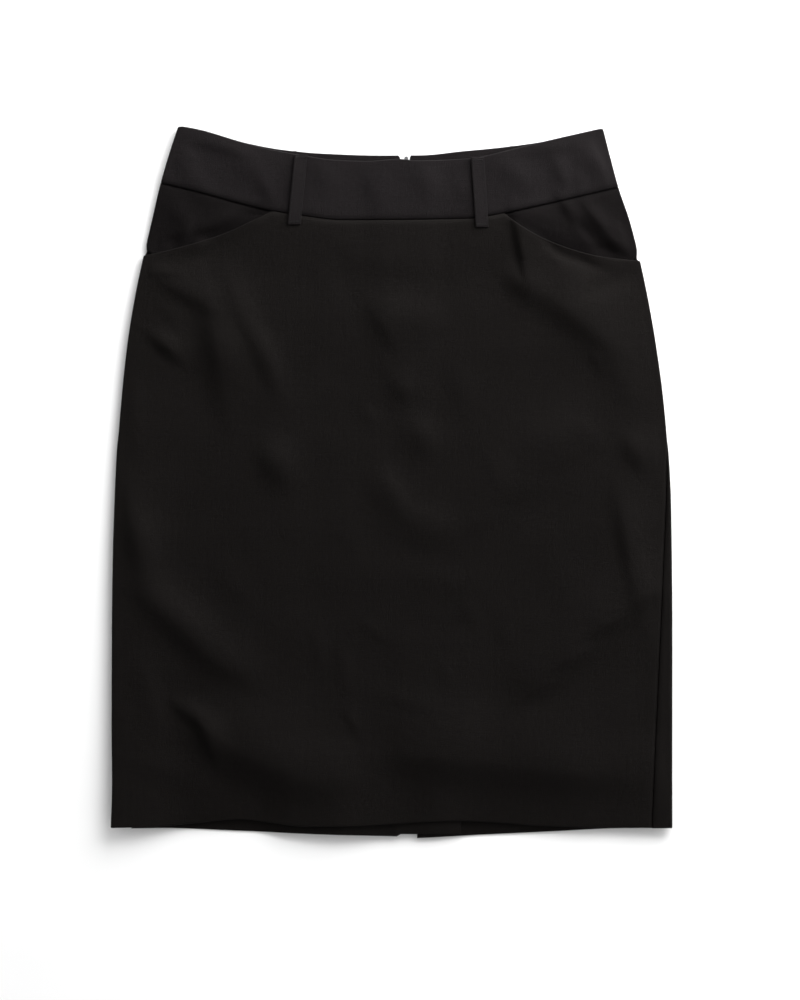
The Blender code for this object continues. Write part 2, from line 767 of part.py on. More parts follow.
def plate(name, outline, thickness, base_z):
    """A flat outline, thickness thick, made a mesh with its caps welded."""
    flat = bpy.data.curves.new(name, "CURVE")
    flat.dimensions = "2D"
    flat.fill_mode = "BOTH"
    flat.extrude = thickness / 2 * MM
    spline = flat.splines.new("POLY")
    spline.use_cyclic_u = True
    spline.points.add(len(outline) - 1)
    for point, (x, y) in zip(spline.points, outline):
        point.co = (x * MM, y * MM, 0.0, 1.0)
    source = bpy.data.objects.new(name + "_outline", flat)
    skirt.objects.link(source)
    source.location.z = (base_z + thickness / 2) * MM
    bpy.context.view_layer.update()
    graph = bpy.context.evaluated_depsgraph_get()
    mesh = bpy.data.meshes.new_from_object(source.evaluated_get(graph))
    made = bpy.data.objects.new(name, mesh)
    made.matrix_world = source.matrix_world
    skirt.objects.link(made)
    bpy.data.objects.remove(source)
    weld = made.modifiers.new("Weld", "WELD")
    weld.merge_threshold = 0.00001
    return made


def unite(body, other):
    """Joins a helper to a body and hides the helper."""
    other.hide_render = True
    other.display_type = "WIRE"
    union = body.modifiers.new("Join " + other.name, "BOOLEAN")
    union.operation = "UNION"
    union.object = other


def build_slider():
    foot, head = SLIDER_FOOT_Y, SLIDER_FOOT_Y + SLIDER_LENGTH
    turn = np.linspace(0.0, np.pi, 9)
    shoulder = head - SLIDER_NOSE_HALF_WIDTH
    nose = [
        (SLIDER_X + SLIDER_NOSE_HALF_WIDTH * np.cos(a), shoulder + SLIDER_NOSE_HALF_WIDTH * np.sin(a))
        for a in turn
    ]
    base = [(SLIDER_X - SLIDER_HALF_WIDTH, foot), (SLIDER_X + SLIDER_HALF_WIDTH, foot)]
    body = plate("zip_slider", base + nose, SLIDER_THICKNESS, SLIDER_BASE_Z)
    for side in (-1, 1):
        height = SLIDER_BASE_Z + GAP - LUG_FOOT_Z
        bpy.ops.mesh.primitive_cube_add(size=1.0)
        lug = bpy.context.object
        lug.name = f"lug_{'low' if side < 0 else 'high'}"
        lug.scale = (LUG_THICKNESS * MM, LUG_LENGTH * MM, height * MM)
        lug_x = SLIDER_X + side * (BARREL_LENGTH / 2 + GAP + LUG_THICKNESS / 2)
        lug.location = (lug_x * MM, PIVOT_Y * MM, (LUG_FOOT_Z + height / 2) * MM)
        move_to(lug, helpers)
        unite(body, lug)
    body.data.materials.append(metal_material)


def build_pull():
    """The tab, lying down the outside of the back, with its origin on the hinge's axis."""
    end = np.linspace(0.0, -np.pi, 11)
    round_y = TAB_HALF_WIDTH - TAB_LENGTH
    rounded = [(TAB_HALF_WIDTH * np.cos(a), round_y + TAB_HALF_WIDTH * np.sin(a)) for a in end]
    neck = [(-TAB_NECK_HALF_WIDTH, -TAB_NECK), (-TAB_NECK_HALF_WIDTH, 0.0)]
    neck += [(-x, y) for x, y in neck[::-1]]
    waist_y = -TAB_NECK - 2 * TAB_HALF_WIDTH
    outline = rounded + [(-TAB_HALF_WIDTH, waist_y)] + neck + [(TAB_HALF_WIDTH, waist_y)]
    tab = plate("zip_pull", outline, TAB_THICKNESS, -TAB_THICKNESS / 2)
    tab.location = (0.0, 0.0, 0.0)
    bpy.ops.mesh.primitive_cylinder_add(
        vertices=16, radius=BARREL_RADIUS * MM, depth=BARREL_LENGTH * MM, rotation=(0, np.pi / 2, 0)
    )
    barrel = bpy.context.object
    barrel.name = "barrel"
    move_to(barrel, helpers)
    unite(tab, barrel)
    axis = bpy.data.objects.new("pull_axis", None)
    skirt.objects.link(axis)
    axis.location = (SLIDER_X * MM, PIVOT_Y * MM, PIVOT_Z * MM)
    tab.parent = axis
    barrel.parent = axis
    tab.data.materials.append(metal_material)


def move_to(thing, collection):
    for holder in thing.users_collection:
        holder.objects.unlink(thing)
    collection.objects.link(thing)


for leftover in list(bpy.data.objects):
    bpy.data.objects.remove(leftover)
skirt = bpy.data.collections.new("pencil_skirt")
helpers = bpy.data.collections.new("helpers")
for holder in (skirt, helpers):
    bpy.context.scene.collection.children.link(holder)

cloth_material = material("suiting", (0.012, 0.0115, 0.011), 0.85)
band_material = material("waistband_suiting", (0.014, 0.0135, 0.0135), 0.85)
tape_material = material("zip_tape", (0.012, 0.012, 0.012), 0.9)
metal_material = material("zip_metal", (0.25, 0.25, 0.26), 0.4, 1.0)

build_front()
build_hip_piece("hip_piece_right", "low", pocket_right)
build_hip_piece("hip_piece_left", "high", pocket_left)
build_backs()
build_waistband()
for belt_loop in LOOPS:
    build_loop(belt_loop)
build_tape("zip_tape_right", -1)
build_tape("zip_tape_left", 1)
build_slider()
build_pull()
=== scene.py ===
"""A black pencil skirt laid flat, front up, on a white table, seen from straight above.

X runs across the skirt, towards the wearer's left. Y runs up it, from hem to waist. Z is up off
the table. The origin is on the table, under the middle. The cloth is worked out in millimetres and
its meshes are in metres. "Left" and "right" in names of pieces are the wearer's own, and "low" and
"high" are the side edges by their x.

The cloth is a flattened tube on the lie of the CAD solids, with their sizes. SECTIONS gives its two
side edges at each height, floor_lift() the height of the back's outer face and stack() how far the
front's outer face is above that. roll() turns one face into the other round a side edge. Each piece
of cloth is a fine grid of columns on those faces, its edges folded round, with the creases, seams,
darts, stitches and weave that the solids leave out.
"""

import json
from collections import namedtuple

import bpy
import numpy as np
from mathutils import Vector
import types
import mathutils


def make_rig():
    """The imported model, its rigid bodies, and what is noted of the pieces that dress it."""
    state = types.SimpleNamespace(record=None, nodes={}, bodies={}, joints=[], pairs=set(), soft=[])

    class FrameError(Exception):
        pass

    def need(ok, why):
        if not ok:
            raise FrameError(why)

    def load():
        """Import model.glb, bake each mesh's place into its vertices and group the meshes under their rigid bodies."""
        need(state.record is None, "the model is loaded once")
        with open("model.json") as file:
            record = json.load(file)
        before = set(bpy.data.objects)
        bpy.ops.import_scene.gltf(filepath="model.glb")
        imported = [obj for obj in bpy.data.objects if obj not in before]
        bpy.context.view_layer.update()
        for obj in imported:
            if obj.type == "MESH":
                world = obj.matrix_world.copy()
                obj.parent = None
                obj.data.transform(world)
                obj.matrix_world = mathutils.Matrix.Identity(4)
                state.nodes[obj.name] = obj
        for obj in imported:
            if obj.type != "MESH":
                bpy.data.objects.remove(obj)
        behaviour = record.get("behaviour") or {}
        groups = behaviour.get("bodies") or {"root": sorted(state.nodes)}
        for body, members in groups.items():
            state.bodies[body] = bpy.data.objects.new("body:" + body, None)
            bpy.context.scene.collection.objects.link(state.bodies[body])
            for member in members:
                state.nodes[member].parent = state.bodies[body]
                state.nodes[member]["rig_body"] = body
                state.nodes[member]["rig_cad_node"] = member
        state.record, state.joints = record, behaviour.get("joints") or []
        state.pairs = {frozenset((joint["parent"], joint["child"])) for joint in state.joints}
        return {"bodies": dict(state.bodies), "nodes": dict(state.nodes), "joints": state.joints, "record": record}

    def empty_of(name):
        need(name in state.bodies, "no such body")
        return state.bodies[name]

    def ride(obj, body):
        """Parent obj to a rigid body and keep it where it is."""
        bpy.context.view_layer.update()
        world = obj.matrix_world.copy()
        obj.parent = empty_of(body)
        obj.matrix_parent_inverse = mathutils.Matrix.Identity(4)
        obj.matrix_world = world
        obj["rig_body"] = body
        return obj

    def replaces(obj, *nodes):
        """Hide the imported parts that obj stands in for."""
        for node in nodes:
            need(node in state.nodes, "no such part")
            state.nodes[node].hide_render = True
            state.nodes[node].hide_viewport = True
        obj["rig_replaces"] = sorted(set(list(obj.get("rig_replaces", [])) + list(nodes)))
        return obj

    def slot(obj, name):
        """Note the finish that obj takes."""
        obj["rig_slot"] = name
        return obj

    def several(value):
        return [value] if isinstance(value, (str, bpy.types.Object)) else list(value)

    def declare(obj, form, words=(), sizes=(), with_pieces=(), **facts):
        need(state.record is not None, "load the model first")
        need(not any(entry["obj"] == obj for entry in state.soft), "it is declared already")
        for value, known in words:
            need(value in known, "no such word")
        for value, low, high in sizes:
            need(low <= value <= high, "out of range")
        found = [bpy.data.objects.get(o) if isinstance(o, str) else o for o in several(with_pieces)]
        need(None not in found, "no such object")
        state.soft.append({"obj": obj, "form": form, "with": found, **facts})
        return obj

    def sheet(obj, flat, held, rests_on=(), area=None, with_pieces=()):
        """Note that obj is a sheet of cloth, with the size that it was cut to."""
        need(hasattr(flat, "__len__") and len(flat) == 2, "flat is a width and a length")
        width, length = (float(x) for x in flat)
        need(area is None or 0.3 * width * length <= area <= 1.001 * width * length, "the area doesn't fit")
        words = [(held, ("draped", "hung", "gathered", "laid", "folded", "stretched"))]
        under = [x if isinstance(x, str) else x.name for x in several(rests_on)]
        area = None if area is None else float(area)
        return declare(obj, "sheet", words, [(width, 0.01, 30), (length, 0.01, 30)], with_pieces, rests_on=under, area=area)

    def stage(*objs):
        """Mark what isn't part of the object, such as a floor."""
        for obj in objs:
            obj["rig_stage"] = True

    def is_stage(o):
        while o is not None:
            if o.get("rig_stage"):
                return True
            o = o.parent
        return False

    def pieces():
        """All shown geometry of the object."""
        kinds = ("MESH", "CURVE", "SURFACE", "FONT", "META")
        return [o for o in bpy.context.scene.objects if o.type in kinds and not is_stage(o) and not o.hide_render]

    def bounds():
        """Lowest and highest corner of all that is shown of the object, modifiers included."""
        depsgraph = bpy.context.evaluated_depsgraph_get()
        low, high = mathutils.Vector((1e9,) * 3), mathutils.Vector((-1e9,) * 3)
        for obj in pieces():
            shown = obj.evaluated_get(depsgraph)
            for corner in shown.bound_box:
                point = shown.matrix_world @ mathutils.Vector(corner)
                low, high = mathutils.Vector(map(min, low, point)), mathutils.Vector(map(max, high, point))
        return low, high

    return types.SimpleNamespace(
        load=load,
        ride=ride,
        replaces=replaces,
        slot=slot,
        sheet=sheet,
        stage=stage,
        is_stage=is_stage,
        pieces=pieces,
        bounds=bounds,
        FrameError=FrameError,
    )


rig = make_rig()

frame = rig.load()
CAD_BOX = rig.bounds()

MM = 0.001
BODY = "skirt"


def rows_of(kind, *values):
    """A table of named tuples."""
    return [kind(*value) for value in values]


# Cloth
WALL = 1.2  # one panel, with its allowances pressed flat
BAND_WALL = 1.6  # the waistband: two layers and interfacing
LOOP_WALL = 1.4  # a belt loop's folded strip
TAPE_WALL = 1.0
GAP = 0.3  # between pieces, at seams and between layers
HALF_GAP = GAP / 2

# The rolled side edges
EDGE_ROLL = 2.2  # how far in from the edge the cloth rolls over
EDGE_ARC = 3.3  # cloth round a quarter of the roll
SWING_TOP = 51.0  # the side seams leave the edges here, as the skirt is laid a little twisted
SWING_HEM = -311.0
SWING_START = 0.1  # share of that height over which they set off
SWING_POWER = 0.75  # they swing off faster at first than further down
FULL_SWING = 19.5  # how far they are off the edges at the hem

# Sections, from the waist down: the two side edges, and how far they lie off the surface
Section = namedtuple("Section", "y low_x high_x low_lift high_lift")
SECTIONS = rows_of(
    Section,
    (321, -192.4, 189.3, 0.2, 0),
    (290, -202.4, 197.2, 0.2, 0),
    (263, -210, 204.6, 0.3, 0),
    (236, -216.3, 213.9, 0.6, 0),
    (200, -224.7, 223.3, 1, 0),
    (164, -232.1, 230.9, 1.4, 0),
    (119, -239.1, 238.6, 2, 0),
    (74, -243.8, 244.6, 2.5, 0),
    (29, -247.3, 248.5, 3, 0),
    (-16, -249.4, 250.9, 3.5, 0),
    (-61, -250.8, 251.6, 4, 0),
    (-130, -251.7, 252.1, 4.6, 0.2),
    (-220, -251.9, 252, 5.6, 1),
    (-270, -251.4, 251.8, 6.8, 2),
    (-321, -252.8, 251.8, 8, 3.2),
)
LOW_LIFT_REACH = 75.0  # how far in from an edge its lift fades out
HIGH_LIFT_REACH = 60.0

# Edges and seams that run across the skirt
Point = namedtuple("Point", "x y")
BACK_TOP = rows_of(
    Point,
    (-193, 320.3), (-172, 316.2), (-136, 305.9), (-100, 298.9), (-64, 295.4), (-10, 293.6),
    (26, 293.8), (62, 297.3), (98, 300.8), (134, 305.7), (170, 313.5), (189.5, 318),
)
FRONT_TOP = rows_of(
    Point,
    (-193, 320.3), (-172, 316.2), (-136, 305.5), (-110, 298.8), (-80, 293.5), (-51, 289.2),
    (-22, 288.2), (6, 290), (22, 288.6), (70, 290.7), (84, 293), (105, 298.2), (134, 305.2),
    (170, 313.5), (189.5, 318),
)
WAIST_SEAM = rows_of(
    Point,
    (-208, 269), (-176, 261), (-108, 243.5), (-80, 239), (-46, 235.2), (8, 235.4), (71, 236.7),
    (101, 241.6), (138, 249.6), (204, 265),
)
POCKET_RIGHT = rows_of(
    Point,
    (-224, 203.2), (-199, 208.6), (-172, 216), (-145, 225.4), (-127, 234), (-108, 243.3),
)
POCKET_LEFT = rows_of(
    Point,
    (101, 241.4), (116, 229.8), (138, 217.8), (165, 208), (188, 202.4), (223.6, 198.6),
)
FRONT_HEM = rows_of(
    Point,
    (-252, -310.4), (-213, -309.6), (-175, -306.6), (-137, -303.2), (-108, -306.4),
    (-79, -309.4), (-42, -309.2), (3, -307.2), (55, -304.6), (97, -306.4), (130, -308.8),
    (190, -310.4), (252, -310.5),
)
BACK_HEM_RIGHT = rows_of(
    Point,
    (-252, -311), (-215, -311), (-136, -313.8), (-64, -316.6), (6, -318.6),
)
BACK_HEM_LEFT = rows_of(
    Point,
    (22, -320.3), (62, -318.2), (134, -314.7), (209, -311.2), (252, -310.9),
)

# Centre back: seam, vent and zip
BACK_SEAM_X = 13.4  # at y = 0
BACK_SEAM_SLOPE = -0.0028
HEM_AT_SEAM = -318.6
VENT_HEIGHT = 170.0
VENT_GAPE = 16.2  # how far the vent has opened at the hem
UNDERLAP_EDGE_X = 62.0
UNDERLAP_HEM_Y = -316.5
UNDERLAP_RISE = 12.0  # over this the right back climbs on to the overlap
UNDERLAP_SLANT = 36.0  # the underlap's top is cut on a slant this high
UNDERLAP_HEM_FADE = 0.003
LAYER = WALL + GAP  # from one layer's face to the face of the one on it
ZIP_FOOT_Y = 112.0
ZIP_HEAD_Y = 281.0
TAPE_STEP_BELOW = 4.5  # how far under the waist seam a tape starts to step over the waistband
TAPE_STEP_RISE = 3.0
# How far the back waistband's right and left ends are from the centre back, by height
Notch = namedtuple("Notch", "y right left")
NOTCH = rows_of(Notch, (274, HALF_GAP, HALF_GAP), (282, 4.4, 3), (290.6, 5, 3.2), (294, 7.3, 4.5))

# Pocket mouths and side pieces
MOUTH_FADE = 0.03  # a mouth's edge comes down to the seam over this share of the way across
MOUTH_GAPE = 0.9  # its edge stands off by this
MOUTH_GAPE_REACH = 9.0
MOUTH_GAPE_FROM_EDGE = 30.0
MOUTH_STEP = 2.4  # the cloth over a pocket mouth's end is tucked this far in
MOUTH_STEP_RISE = 1.4
MOUTH_STEP_FADE = 13.0
HIP_UNDERLAY = 22.0  # how far the side pieces run on under the front
HIP_RETREAT = 6.0  # under the front they keep this far in from the rolled edge
HIP_RETREAT_RISE = 6.0
HIP_OVERRUN = 0.035  # how far past the mouth they run, as a share of the way across
HIP_SAG = 0.9  # how far they sag beside the mouth
HIP_SAG_REACH = 13.0
HIP_CLEARANCE = 0.2  # over the back
SINK_FADE = 50.0  # under a mouth's end the side seam comes back to halfway over this

# Belt loops: the middle of each one's head and foot
Loop = namedtuple("Loop", "name face head_x foot_x")
LOOPS = rows_of(
    Loop,
    ("belt_loop_front_right", "front", -81.8, -88.0),
    ("belt_loop_front_left", "front", 76.6, 80.8),
    ("belt_loop_back_right", "back", -92.0, -100.0),
    ("belt_loop_back_left", "back", 112.0, 122.0),
)
LOOP_WIDTH = 11.8
LOOP_DROP = 9.2  # how far a loop's foot is under the waist seam
LOOP_STAND = 0.2  # how far its middle stands off the waistband
LOOP_TILT = 0.9  # its right edge stands off by this

# The lie of the skirt
PANEL_AIR = 1.2  # between front and back
LEAST_AIR = 0.35  # left between them under a trough
WAIST_AIR = 1.4  # more of it in the top, over the pocket pieces and the waistband
WAIST_AIR_FROM = 60.0
WAIST_AIR_RISE = 100.0
CROWN_AIR = 0.9  # more of it away from the side edges
CROWN_REACH = 45.0
ZIP_AIR = 0.8
ZIP_AIR_HALF_WIDTH = 16.0
ZIP_AIR_FADE = 24.0
UNDERLAP_AIR = 0.7
BAND_LIFT = LOOP_WALL + GAP  # the back waistband lies on its belt loops
BAND_LIFT_FADE = 48.0
HEM_FADE = 95.0
Wave = namedtuple("Wave", "x lift")
HEM_WAVES = rows_of(
    Wave,
    (-253, 0), (-205, 0), (-125, 0), (-88, 4.2), (-50, 6), (-14, 3.6), (12, 1.6), (38, 2.2),
    (74, 0), (115, 0.4), (170, 1.6), (253, 1),
)

# The front's folds: middle, direction from +X, half length, half width to the left of that
# direction and to the right of it, height
Fold = namedtuple("Fold", "x y angle length left right height")
FOLDS = rows_of(
    Fold,
    # Over the hem, from the right side
    (-182, -209, -40, 17, 12, 5, 2.5), (-165, -230, -66, 20, 17, 6, 4),
    (-122, -247, -24, 50, 46, 20, 6), (-56, -264, 2, 46, 50, 20, 3.5),
    (44, -245, -4, 50, 50, 22, 6), (150, -257, -4, 66, 50, 21, 5.75),
    # Up the right side
    (-228, -54, -80, 36, 17, 10, 3.75), (-192, -126, -44, 48, 22, 14, 5),
    (-146, -164, -28, 34, 22, 13, 2), (-203, 121, -41, 17, 14, 4.6, 2.75),
    (-156, 122, -80, 44, 30, 13, 4.25), (-184, 170, -28, 28, 24, 8, 2.5),
    (-118, 120, -66, 42, 11, 9, 2.12), (-103, 16, -62, 21, 18, 15, 3.5),
    # In the middle
    (-4, 140, -62, 24, 26, 11, 2.12), (10, 86, -60, 17, 22, 11, 2),
    (25, 43, -52, 22, 13, 16, 1.75), (0, -10, -58, 24, 11, 16, 1.88),
    (32, -38, -14, 28, 17, 19, 1.62), (140, 36, 42, 42, 24, 22, 1.75),
    (150, 24, 22, 24, 26, 12, 1.12), (114, -6, 20, 26, 26, 12, 1.25),
    (82, -32, 16, 24, 24, 12, 1.12),
    # Under the left pocket mouth
    (115, 212, -79, 25, 26, 3.2, 3.6), (150, 194, -34, 30, 11, 17, 1.3),
    (117, 178, -42, 18, 18, 11, 3), (168, 148, -38, 44, 30, 15, 4.2),
    (204, 102, -62, 34, 24, 15, 1.5),
    # Down the left side
    (220, 26, -64, 18, 18, 10, 2.38), (212, -56, -80, 40, 20, 7.5, 3),
    (222, -103, 24, 24, 30, 10, 2.75), (192, -126, 28, 26, 32, 10, 3.75),
    (162, -156, 30, 26, 32, 10, 3.75), (133, -182, 28, 24, 30, 10, 2.75),
)
FOLD_EDGE_FADE = 14.0

# Finer than the solids
STEP = 2.9  # between points of a grid, along and across a piece
EDGE_ROUND = 0.9  # a cut or folded edge's outer face rounds over this
NEAR_EDGE = (0.0, 0.1, 0.3, 0.6, 1.0, 1.7)  # extra rows and columns this far in from an edge
ROLL_POINTS = 13  # columns round a side edge
SEAM_ROUND = 0.35  # a sewn edge's outer face rounds over this
BAND_SEAM_ROUND = 1.3
SEAM_HALF_GAP = 0.01  # the waist seam is all but closed
SEAM_DIP = 0.7  # a seam draws the cloth in
SEAM_DIP_REACH = 1.5

Corner = namedtuple("Corner", "radius drop")
LOW_CORNER = Corner(7.0, 2.2)  # the waistband's top corners, rounded off
HIGH_CORNER = Corner(6.0, 1.6)

# Finer creases of the front, as its folds
CREASES = rows_of(
    Fold,
    (-207, 188, -6, 15, 8, 3.4, 0.75), (-196, 146, -50, 18, 12, 6, 0.62),
    (-142, 172, -72, 26, 12, 9, 0.56), (-232, 60, -84, 40, 10, 12, 0.75),
    (-150, 66, -70, 26, 14, 9, 0.5), (-84, 62, 60, 40, 12, 11, 0.5),
    (-58, 178, -64, 30, 13, 11, 0.5), (26, 150, -20, 28, 12, 16, 0.62),
    (-20, 60, -52, 12, 7, 9, 0.62), (14, 196, -12, 34, 12, 14, 0.44),
    (62, 84, -74, 30, 14, 11, 0.62), (94, 10, -66, 22, 12, 10, 0.62),
    (176, 44, -50, 16, 8, 12, 0.62), (184, 108, -60, 10, 7, 5, 0.62),
    (168, 200, -24, 20, 4.6, 4.6, -1.2), (145, 210, -40, 14, 4, 4, -1),
    (196, 178, 24, 26, 8, 10, -0.75), (-36, -216, -60, 15, 9, 4, 0.75),
    (-44, -168, -82, 24, 10, 6, 0.62), (-66, -150, -78, 18, 9, 6, 0.5),
    (-16, -134, -40, 14, 7, 5, 0.5), (10, -196, -14, 30, 12, 7, 0.62),
    (50, -176, -70, 16, 9, 6, 0.5), (70, -120, -66, 20, 9, 7, 0.5),
    (104, -140, -74, 18, 9, 7, 0.5), (40, -86, -10, 34, 11, 14, 0.75),
    (-30, -64, -56, 34, 14, 12, 0.5), (-118, -60, -58, 40, 16, 14, 0.62),
    (-140, -96, -50, 30, 12, 10, 0.5), (-218, -190, -76, 34, 10, 12, 1),
    (-196, -262, -24, 30, 16, 12, 1), (204, -196, 66, 26, 14, 12, 0.75),
    (228, -120, -82, 40, 9, 10, 0.75),
    # On the right pocket piece
    (-172, 219, 58, 13, 7, 6, 1.4), (-202, 214, 40, 9, 5, 5, 0.94),
    (-150, 236, 34, 16, 6, 7, 0.94), (-190, 240, -60, 16, 8, 8, 0.78),
    (-126, 242, 10, 10, 6, 5, -1), (-170, 221.5, 18, 10, 6, 5, -1.88),
    (-199, 216, 18, 7, 5, 4, -1.62), (-186, 222, 70, 13, 5, 5, 1.12),
    # On the left pocket piece
    (160, 242, -58, 22, 8, 4.6, 1.72), (188, 230, -52, 27, 7, 4.6, 2.03),
    (208, 222, -46, 16, 6, 7, 1.4), (134, 240, -20, 16, 10, 8, 0.94),
    (173, 226, -46, 17, 5, 4, -1.62), (191, 209, -16, 7, 4, 3.4, -2.75),
    (206, 212, -30, 13, 6, 4, 1.5),
)

# Shallow dips and swells of the front waistband
BAND_CREASES = rows_of(
    Fold,
    (-150, 301, -16, 34, 10, 6, 1.12), (-186, 290, -70, 22, 9, 9, 0.84),
    (-128, 284, -34, 24, 9, 12, 0.98), (-112, 262, -60, 12, 7, 6, 0.98),
    (-168, 262, -50, 18, 9, 9, 0.7), (-62, 278, -62, 20, 12, 10, 0.7),
    (-18, 266, -74, 20, 13, 9, 0.7), (30, 270, -58, 22, 12, 12, 0.84),
    (66, 262, -50, 16, 8, 10, 0.56), (112, 276, -40, 22, 10, 12, 0.98),
    (152, 276, -66, 18, 8, 6, 1.12), (184, 287, -54, 22, 9, 13, 1.82),
    (170, 268, -62, 12, 9, 6, 0.84), (140, 300, 8, 26, 8, 6, 0.7),
)

# Soft troughs of the whole lie, felt on the back too
TROUGHS = rows_of(
    Fold,
    (-110, 80, 84, 70, 12, 12, 0.35), (-40, -60, 96, 90, 14, 14, 0.3),
    (96, 40, 82, 80, 13, 13, 0.35), (150, -90, 104, 70, 12, 12, 0.3),
    (-150, -150, 70, 60, 13, 13, 0.35), (60, -230, 60, 46, 10, 10, 0.3),
    (-30, 180, 100, 40, 10, 10, 0.25),
)
RIPPLE_SEED = 7
RIPPLES = 18
RIPPLE_HEIGHT = 0.045
RIPPLE_SHORTEST = 40.0
RIPPLE_LONGEST = 110.0

# Back darts: one in each back, on a line that keeps its share of the way across
Dart = namedtuple("Dart", "side share foot_y depth")
DARTS = (Dart("right", 0.62, 126.0, 0.6), Dart("left", 0.43, 128.0, 0.6))
DART_COLUMNS = (-2.4, -1.2, -0.6, -0.25, 0.0, 0.25, 0.6, 1.2, 2.4)
DART_WIDTH = 0.6
DART_SWELL = 0.5  # the fullness round a dart's point
DART_SWELL_REACH = 16.0

# Sewing
STITCH_LENGTH = 2.3
STITCH_PITCH = 2.9
THREAD_RADIUS = 0.17
STITCH_SIDES = 6
STITCH_RINGS = 7
STITCH_PROUD = 0.5  # in its middle, as a share of its thread's radius
STITCH_SINK = 2.2  # and how much lower its ends are
LOOP_STITCH_INSET = 1.7
LOOP_STITCH_FOOT = 1.2  # the first stitch starts this far up a loop
LOOP_STITCH_HEAD = 1.0
TACK_ABOVE_FOOT = 2.6
TACK_PITCH = 0.9
TACK_LENGTH = 1.9
LOOP_COLUMNS = 5
LOOP_CLOTH = 1.1  # a belt loop pressed flat
LOOP_FOLD = 1.0  # its right edge and its foot round over this
LOOP_ROUND = 0.35  # its left edge and its head
LOOP_GAP = 0.12  # under it
BACK_LOOP_REST = 0.26  # the back ones rest on their stitches
LOOP_END_REACH = 3.0  # a loop bends over at its head and foot over this
LOOP_END_DROP = 0.1

# Zip coil, on the tapes' inner edges
COIL_PITCH = 1.35
COIL_RADIUS = 0.28
COIL_WIDTH = 2.6
COIL_HEIGHT = 1.1
COIL_SIDES = 6
COIL_RINGS = 7

# Stage
PHOTO_WIDTH = 800
PHOTO_HEIGHT = 1000
MM_PER_PIXEL = 0.9
CENTRE_PIXEL = Point(392.1, 482.0)  # of the photograph, where the origin is
LENS = 120.0
SENSOR = 36.0
FLOOR_SIZE = 8.0  # metres, as are the light's place and size
KEY_PLACE = (0.72, 1.1, 0.55)  # it faces the origin
KEY_SIZE = (1.6, 1.1)
KEY_WATTS = 54.0
WORLD_HORIZON = 2.0
WORLD_ZENITH = 0.1
WORLD_LEAN = (0.38, 0.52, 0.0)  # the world is brighter on the key's side by this much

# Rough sizes of the pieces, which set how many points their grids have
FLAT_WIDTH = 480.0
PANEL_LENGTH = 556.0
BAND_HEIGHT = 54.0
HIP_LENGTH = 62.0
COLUMN_END_TRIES = 4  # steps to the place where a column meets an edge

# Suiting: the size of each feature, how much it counts in the shade, and the depth of its bumps
YARN_PITCH = 0.42
TWILL_REPEAT = 3.0
SLUB_SIZE = 0.8
SLUB_STRETCH = 9.0  # along a yarn
SPECKLE_SIZE = 1.1
CRUMPLE_SIZE = 9.0
CLOUD_SIZE = 34.0
YARN_SHADE = 0.22
SLUB_SHADE = 1.1
SPECKLE_SHADE = 0.5
CLOUD_SHADE = 0.35
LESS_SHADE = 0.35  # taken off their sum
YARN_DEPTH = 0.09
SLUB_DEPTH = 0.24
CRUMPLE_DEPTH = 0.2
SUITING_ROUGHNESS = (0.38, 0.58)


# ---- The lie of the skirt, as in the solids ----


def smooth(share):
    """0 below 0, 1 above 1, and a soft step between."""
    share = np.clip(share, 0.0, 1.0)
    return share * share * (3.0 - 2.0 * share)


def curve(places, values):
    """A smooth curve through the values: a cubic between each two, level where they turn back, so
    that it never swings past them."""
    places = np.array(places, float)
    values = np.array(values, float)
    steps = np.diff(places)
    rates = np.diff(values) / steps
    before, after = rates[:-1], rates[1:]
    turning = before * after <= 0
    total = np.where(turning, 1.0, before + after)
    inner = np.where(turning, 0.0, 2 * before * after / total)
    slopes = np.concatenate([rates[:1], inner, rates[-1:]])

    def at(place):
        place = np.clip(place, places[0], places[-1])
        k = np.clip(np.searchsorted(places, place) - 1, 0, len(steps) - 1)
        u = (place - places[k]) / steps[k]
        near = values[k] * (1 + 2 * u) + slopes[k] * steps[k] * u
        far = values[k + 1] * (3 - 2 * u) + slopes[k + 1] * steps[k] * (u - 1)
        return near * (1 - u) ** 2 + far * u**2

    return at


def table_curve(table, place, value):
    """A curve through one of a table's columns, by another."""
    return curve([getattr(row, place) for row in table], [getattr(row, value) for row in table])


RISING = SECTIONS[::-1]
low_outline = table_curve(RISING, "y", "low_x")
high_outline = table_curve(RISING, "y", "high_x")
low_edge_lift = table_curve(RISING, "y", "low_lift")
high_edge_lift = table_curve(RISING, "y", "high_lift")
hem_wave = table_curve(HEM_WAVES, "x", "lift")
right_notch = table_curve(NOTCH, "y", "right")
left_notch = table_curve(NOTCH, "y", "left")


def mouth_end(edge):
    """The height at which a pocket mouth ends on a side edge."""
    return POCKET_RIGHT[0].y if edge == "low" else POCKET_LEFT[-1].y


def mouth_step(edge, y):
    """How far a side edge is tucked in, just over the end of its pocket mouth."""
    over = y - mouth_end(edge)
    return MOUTH_STEP * smooth(over / MOUTH_STEP_RISE) * smooth(1 - over / MOUTH_STEP_FADE)


def low_edge(y):
    return low_outline(y) + mouth_step("low", y)


def high_edge(y):
    return high_outline(y) - mouth_step("high", y)


def across(x, y):
    """How far across the skirt x is at height y: 0 on one edge, 1 on the other."""
    return (x - low_outline(y)) / (high_outline(y) - low_outline(y))


def crossing(points):
    """The height of an edge or seam, by how far across the skirt it is."""
    return curve([across(p.x, p.y) for p in points], [p.y for p in points])


